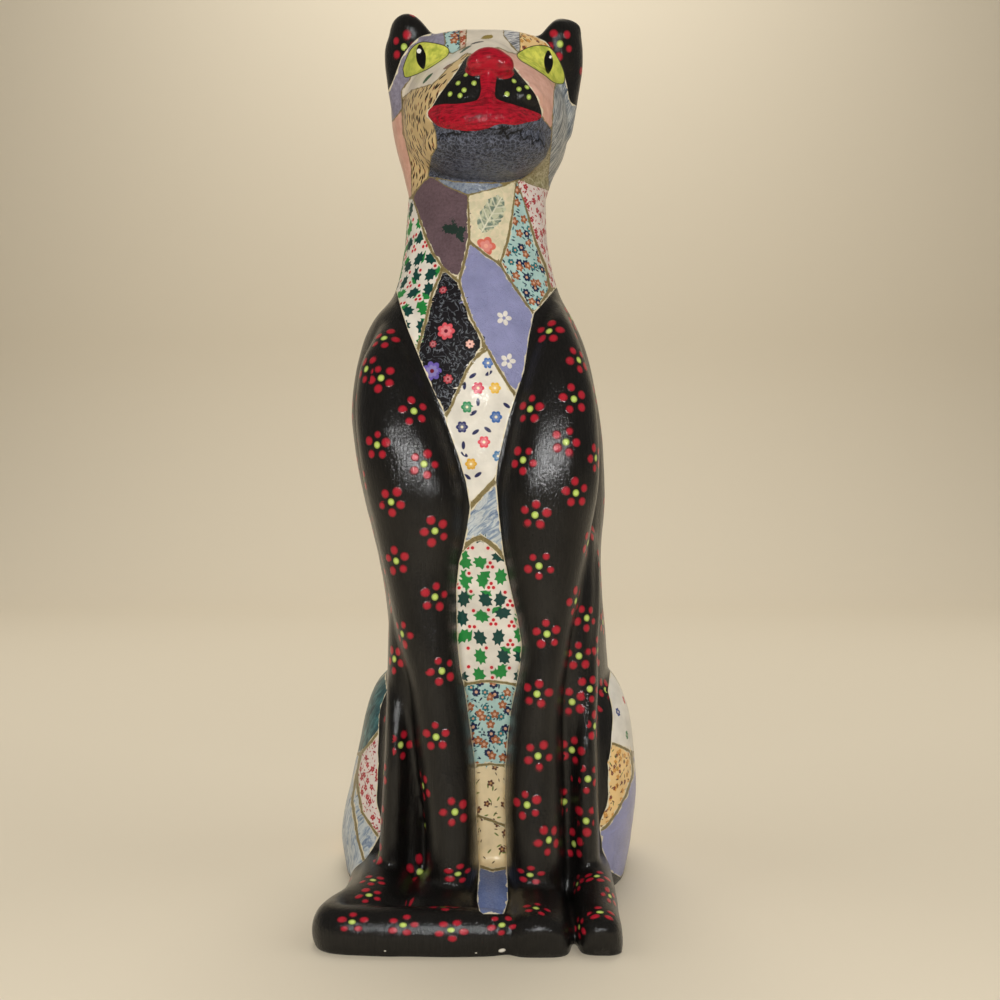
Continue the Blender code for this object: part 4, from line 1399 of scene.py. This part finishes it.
def makePapers():
    # One material for each print
    return {
        "holly": hollyPaper(),
        "lavender": plainPaper("lavender grey paper", "#95909f", "#77707f"),
        "cream": stampedPaper("cream paper with green leaves", "#d6cab6"),
        "rust": sprigPaper("rust flower print paper", "#cdb39c", [(3.4, "#9c4a30", 5, 1.6, 0.1)]),
        "zebra": marbledPaper("grey striped paper", ["#3a3a40", "#8b8c90", "#d9d5cc", "#55545c"],
                              (0.15, 0.9, 1)),
        "yellowFloral": sprigPaper("yellow flower print paper", "#e6c286", [
            (3.6, "#c98f45", 5, 1.2, 0.2), (3.2, "#54302a", 0, 0.9, 0.3), (4.4, "#6a2f2f", 5, 0.9, 0.35),
            (5.5, "#4e6a35", 0, 0.8, 0.4)]),
        "brownFloral": sprigPaper("cream print paper with brown flowers", "#e3cfa6", [
            (4.6, "#6b7a3e", 0, 1.1, 0.35), (5.6, "#5f3a30", 5, 1.5, 0.3), (3.6, "#4a3a2a", 0, 0.7, 0.45)],
                                  heart="#b98d5a"),
        "salmon": plainPaper("salmon paper", "#d8aa97", "#c99884", 0.3, 0.6, 0.3),
        "greyMarble": marbledPaper("grey marbled paper", ["#414850", "#6c747c", "#b8bab6", "#5a6370"],
                                   (0.1, 0.7, 1)),
        "beigeStreaks": sprigPaper("tan paper with dark strokes", "#c8ad7c", [
            (3.2, "#7a4a30", 0, 1.1, 0.45), (2.8, "#2e2116", 0, 1.15, 0.3), (3.9, "#1f1812", 0, 1.4, 0.4)],
                                   lean=0.1),
        "denim": denimCloth(),
        # Slate blue paper under the chin; its pale grey mottle is partly its own colour and partly a painted
        # sheen
        "slateShine": plainPaper("slate blue paper with painted sheen", "#5d6880", "#9aa2a6", 0.6, 1.8),
        "olive": marbledPaper("olive paper", ["#6f6746", "#98906c", "#b9b39a"], (0.3, 0.6, 1)),
        "plum": firPaper(),
        "leaf": leafPaper(),
        "tealSprigs": sprigPaper("aqua print paper with sprigs", "#a9c6bf", [
            (2.5, "#2a6068", 0, 0.95, 0.35), (2.7, "#18223c", 0, 1.05, 0.35), (5.6, "#1d6a70", 6, 1.5, 0.45),
            (6.3, "#1b2748", 6, 1.9, 0.45), (5.4, "#9c5c38", 5, 1.9, 0.3)], heart="#cfa184"),
        "redSprigs": sprigPaper("print paper with red sprigs", "#d8cbc3", [
            (2.0, "#b4454a", 0, 0.8, 0.35), (3.8, "#a82f36", 5, 1.4, 0.35), (2.8, "#973139", 0, 1.1, 0.45)]),
        "periwinkle": flowerPaper("periwinkle paper with white flowers", "#8d8fb6", 5, (0.62, 0.4, 0.3),
                                  "#8d8fb6", 4.0, grain=2.2, gloss=0.8),
        "blackFloral": flowerPaper("black flower print paper", "#1a181b", 7, (0.6, 0.42, 0.32), "#6d1c2b",
                                   bits=((vines, "#71757d"), (scatteredLeaves, "#5d6266"))),
        "calico": flowerPaper("white calico paper", "#ddd7ca", 6, (0.56, 0.44, 0.38), "#efe3c0", 0.6,
                              gloss=0.1, leafy=True),
        "calicoBack": sprigPaper("white calico paper with small flowers", "#ddd7ca", [
            (5.1, "#2a2c52", 0, 1.1, 0.35), (8.5, "#35609f", 5, 2.3, 0.4), (9.1, "#cf3f55", 5, 2.3, 0.4),
            (9.7, "#d9a526", 5, 2.2, 0.4), (10.4, "#2f8a55", 5, 2.2, 0.4)], heart="#efe3c0"),
        "blueMarble": marbledPaper("blue marbled paper", ["#5c6f8d", "#93a0ad", "#c5cac8", "#a5abb2"],
                                   (0.16, 0.5, 1)),
        "slate": plainPaper("slate blue cloth", "#5b6892", "#7482a6", 1.2, 1.2),
        "tealLeaf": marbledPaper("teal paper with pale leaves", ["#22393d", "#37585a", "#4f7a79"],
                                 (0.15, 0.35, 1)),
    }


def dress(item):
    # Stores what the materials read, and gives each face its material
    mesh = item.data
    points, normals, faces = shapesOf(mesh)
    papers, paints = divideSkin(points, normals)
    for name, values in paints.items():
        writeNumbers(mesh, name, "FLOAT", "POINT", values)
    middles = papers[:, faces].mean(axis=2)
    owner = middles.argmin(axis=0)
    own = papers[owner[:, None], faces]
    seam = np.full(faces.shape, 1e9)
    for number, distance in enumerate(papers):
        other = (owner != number)[:, None]
        seam = np.where(other, np.minimum(seam, distance[faces]), seam)
    writeNumbers(mesh, "seam", "FLOAT", "CORNER", (own - seam) / 2)
    heights, breadths = zip(*cover["seamBreadth"])
    writeNumbers(mesh, "seamBreadth", "FLOAT", "POINT", np.interp(points[:, 2], heights, breadths))

    sheets = shownPapers + hiddenPapers
    place = np.zeros((*faces.shape, 3))
    shift, rising = stamps["sheetShift"]
    for number, (_, turn, _) in enumerate(sheets):
        mine = owner == number
        if not mine.any():
            continue
        normal = Vector(normals[faces[mine]].mean(axis=(0, 1))).normalized()
        level, rise = tangents(normal)
        turned = level * cos(radians(turn)) + rise * sin(radians(turn))
        above = rise * cos(radians(turn)) - level * sin(radians(turn))
        gap = points[faces[mine]]
        place[mine, :, 0] = gap @ np.array(turned) + shift * number
        place[mine, :, 1] = gap @ np.array(above) + rising * number
    writeNumbers(mesh, "paperPlace", "FLOAT_VECTOR", "CORNER", place)

    tree = BVHTree.FromPolygons([Vector(point) for point in points],
                                [tuple(int(k) for k in face) for face in faces])
    spots = flowerPlaces(tree, points, normals, paints)
    way, flower = stampPlaces(points, normals, faces, spots, flowerPaint["reach"])
    highest, foremost, flatness = flowerPaint["lowFlowers"]
    low = np.array([spot[0].z < highest and spot[0].y < foremost for spot in spots])[flower]
    way[low, :, 1] /= flatness
    times, within = flowerPaint["chance"]
    chance = np.repeat((flower * times % within)[:, None], 3, axis=1)
    writeNumbers(mesh, "flowerPlace", "FLOAT_VECTOR", "CORNER", np.dstack([way, chance]))
    size = np.array([spot[2] for spot in spots])[flower]
    writeNumbers(mesh, "flowerSize", "FLOAT", "CORNER", np.repeat(size[:, None], 3, axis=1))

    marks = printedFlowers + [(*leaf, calicoLeaves["colour"]) for leaf in calicoLeaves["places"]]
    prints = [(*aim(tree, pixel), reach, colour) for pixel, reach, colour in marks]
    way = np.full((*faces.shape, 2), float(stamps["outOfReach"]))
    flower = np.zeros(len(faces), int)
    under = np.array([owner[tree.find_nearest(spot[0])[2]] for spot in prints])
    for number in set(under):
        mine = owner == number
        own = np.flatnonzero(under == number)
        onPaper, nearest = stampPlaces(points, normals, faces[mine], [prints[k] for k in own],
                                       stamps["printReach"])
        way[mine] = onPaper
        flower[mine] = own[nearest]
    writeNumbers(mesh, "printPlace", "FLOAT_VECTOR", "CORNER", np.dstack([way, np.zeros(faces.shape)]))
    size = np.array([spot[2] for spot in prints])[flower]
    writeNumbers(mesh, "printSize", "FLOAT", "CORNER", np.repeat(size[:, None], 3, axis=1))
    shade = np.array([ink(spot[3]) for spot in prints])[flower]
    writeNumbers(mesh, "printColour", "FLOAT_COLOR", "CORNER", np.repeat(shade[:, None, :], 3, axis=1))

    materials = makePapers()
    mesh.materials.clear()
    mesh.materials.append(lacquer())
    slots = {}
    for name, material in materials.items():
        slots[name] = len(mesh.materials)
        mesh.materials.append(material)
    slot = np.array([slots[sheet[0]] for sheet in sheets])[owner]
    slot[(paints["black"][faces] <= stamps["overlap"]).all(axis=1)] = 0
    mesh.polygons.foreach_set("material_index", slot.astype(np.int32))
    mesh.update()
    print("dressed:", len(spots), "painted flowers,", len(mesh.materials), "materials")


# The stage: pale floor that curves up behind, and soft lights
stageSet = {
    "floor": "#d9cdb6",
    "reach": 1.6,  # how far the floor runs each way, metres
    "curve": 0.5,  # radius of the curve behind
    "steps": 12,  # faces in the curve
    "high": 2.0,
    "air": (0.8, 0.75, 0.66, 1), "airStrength": 0.24,
}
lamps = [  # name, place, what it is aimed at, size, watts, whether it shows in the gloss
    ("key", (0.01, -0.6, 0.25), (0, 0, 0.2), 0.08, 2.1, True),
    ("leftFill", (-1.2, -0.1, 0.9), (0, 0.3, 0.05), 1.2, 5.5, False),
    ("rightFill", (1.2, -0.1, 0.9), (0, 0.3, 0.05), 1.2, 5.5, False),
    ("backdropLight", (0, 0.7, 1.9), (0, 1.3, 0.2), 1.0, 20, False),
]


def buildStage():
    body = bmesh.new()
    reach = stageSet["reach"]
    curve = stageSet["curve"]
    profile = [(-reach, 0), (reach - curve, 0)]
    for step in range(1, stageSet["steps"] + 1):
        angle = pi / 2 * step / stageSet["steps"]
        profile.append((reach - curve + curve * sin(angle), curve - curve * cos(angle)))
    profile.append((reach, stageSet["high"]))
    verts = [body.verts.new((-reach, y, z)) for y, z in profile]
    edges = [body.edges.new(pair) for pair in zip(verts, verts[1:])]
    made = bmesh.ops.extrude_edge_only(body, edges=edges)["geom"]
    moved = [piece for piece in made if isinstance(piece, bmesh.types.BMVert)]
    bmesh.ops.translate(body, verts=moved, vec=(2 * reach, 0, 0))
    bmesh.ops.recalc_face_normals(body, faces=body.faces)
    mesh = bpy.data.meshes.new("floor")
    body.to_mesh(mesh)
    body.free()
    mesh.shade_smooth()
    floor = bpy.data.objects.new("floor", mesh)
    bpy.context.scene.collection.objects.link(floor)
    material, add = newMaterial("pale matt backdrop")
    shader = add("BsdfPrincipled", {"Base Color": ink(stageSet["floor"]), "Roughness": 0.9})
    add("OutputMaterial", {"Surface": shader})
    mesh.materials.append(material)
    world = bpy.data.worlds.new("soft room")
    world.use_nodes = True
    world.node_tree.nodes["Background"].inputs["Color"].default_value = stageSet["air"]
    world.node_tree.nodes["Background"].inputs["Strength"].default_value = stageSet["airStrength"]
    bpy.context.scene.world = world
    bpy.context.scene.view_settings.view_transform = "Standard"
    for name, place, target, size, watts, glossy in lamps:
        lamp = bpy.data.lights.new(name, "AREA")
        lamp.size = size
        lamp.energy = watts
        holder = bpy.data.objects.new(name, lamp)
        holder.location = place
        holder.visible_glossy = glossy
        holder.rotation_euler = (Vector(target) - Vector(place)).to_track_quat("-Z", "Y").to_euler()
        bpy.context.scene.collection.objects.link(holder)


setCamera()
print("camera set")
cat = modelCat()
keepInside(cat, cadBox)
print("cat modelled:", len(cat.data.polygons), "faces")
dress(cat)
buildStage()
print("stage set")
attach(cat, "root")
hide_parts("cat")
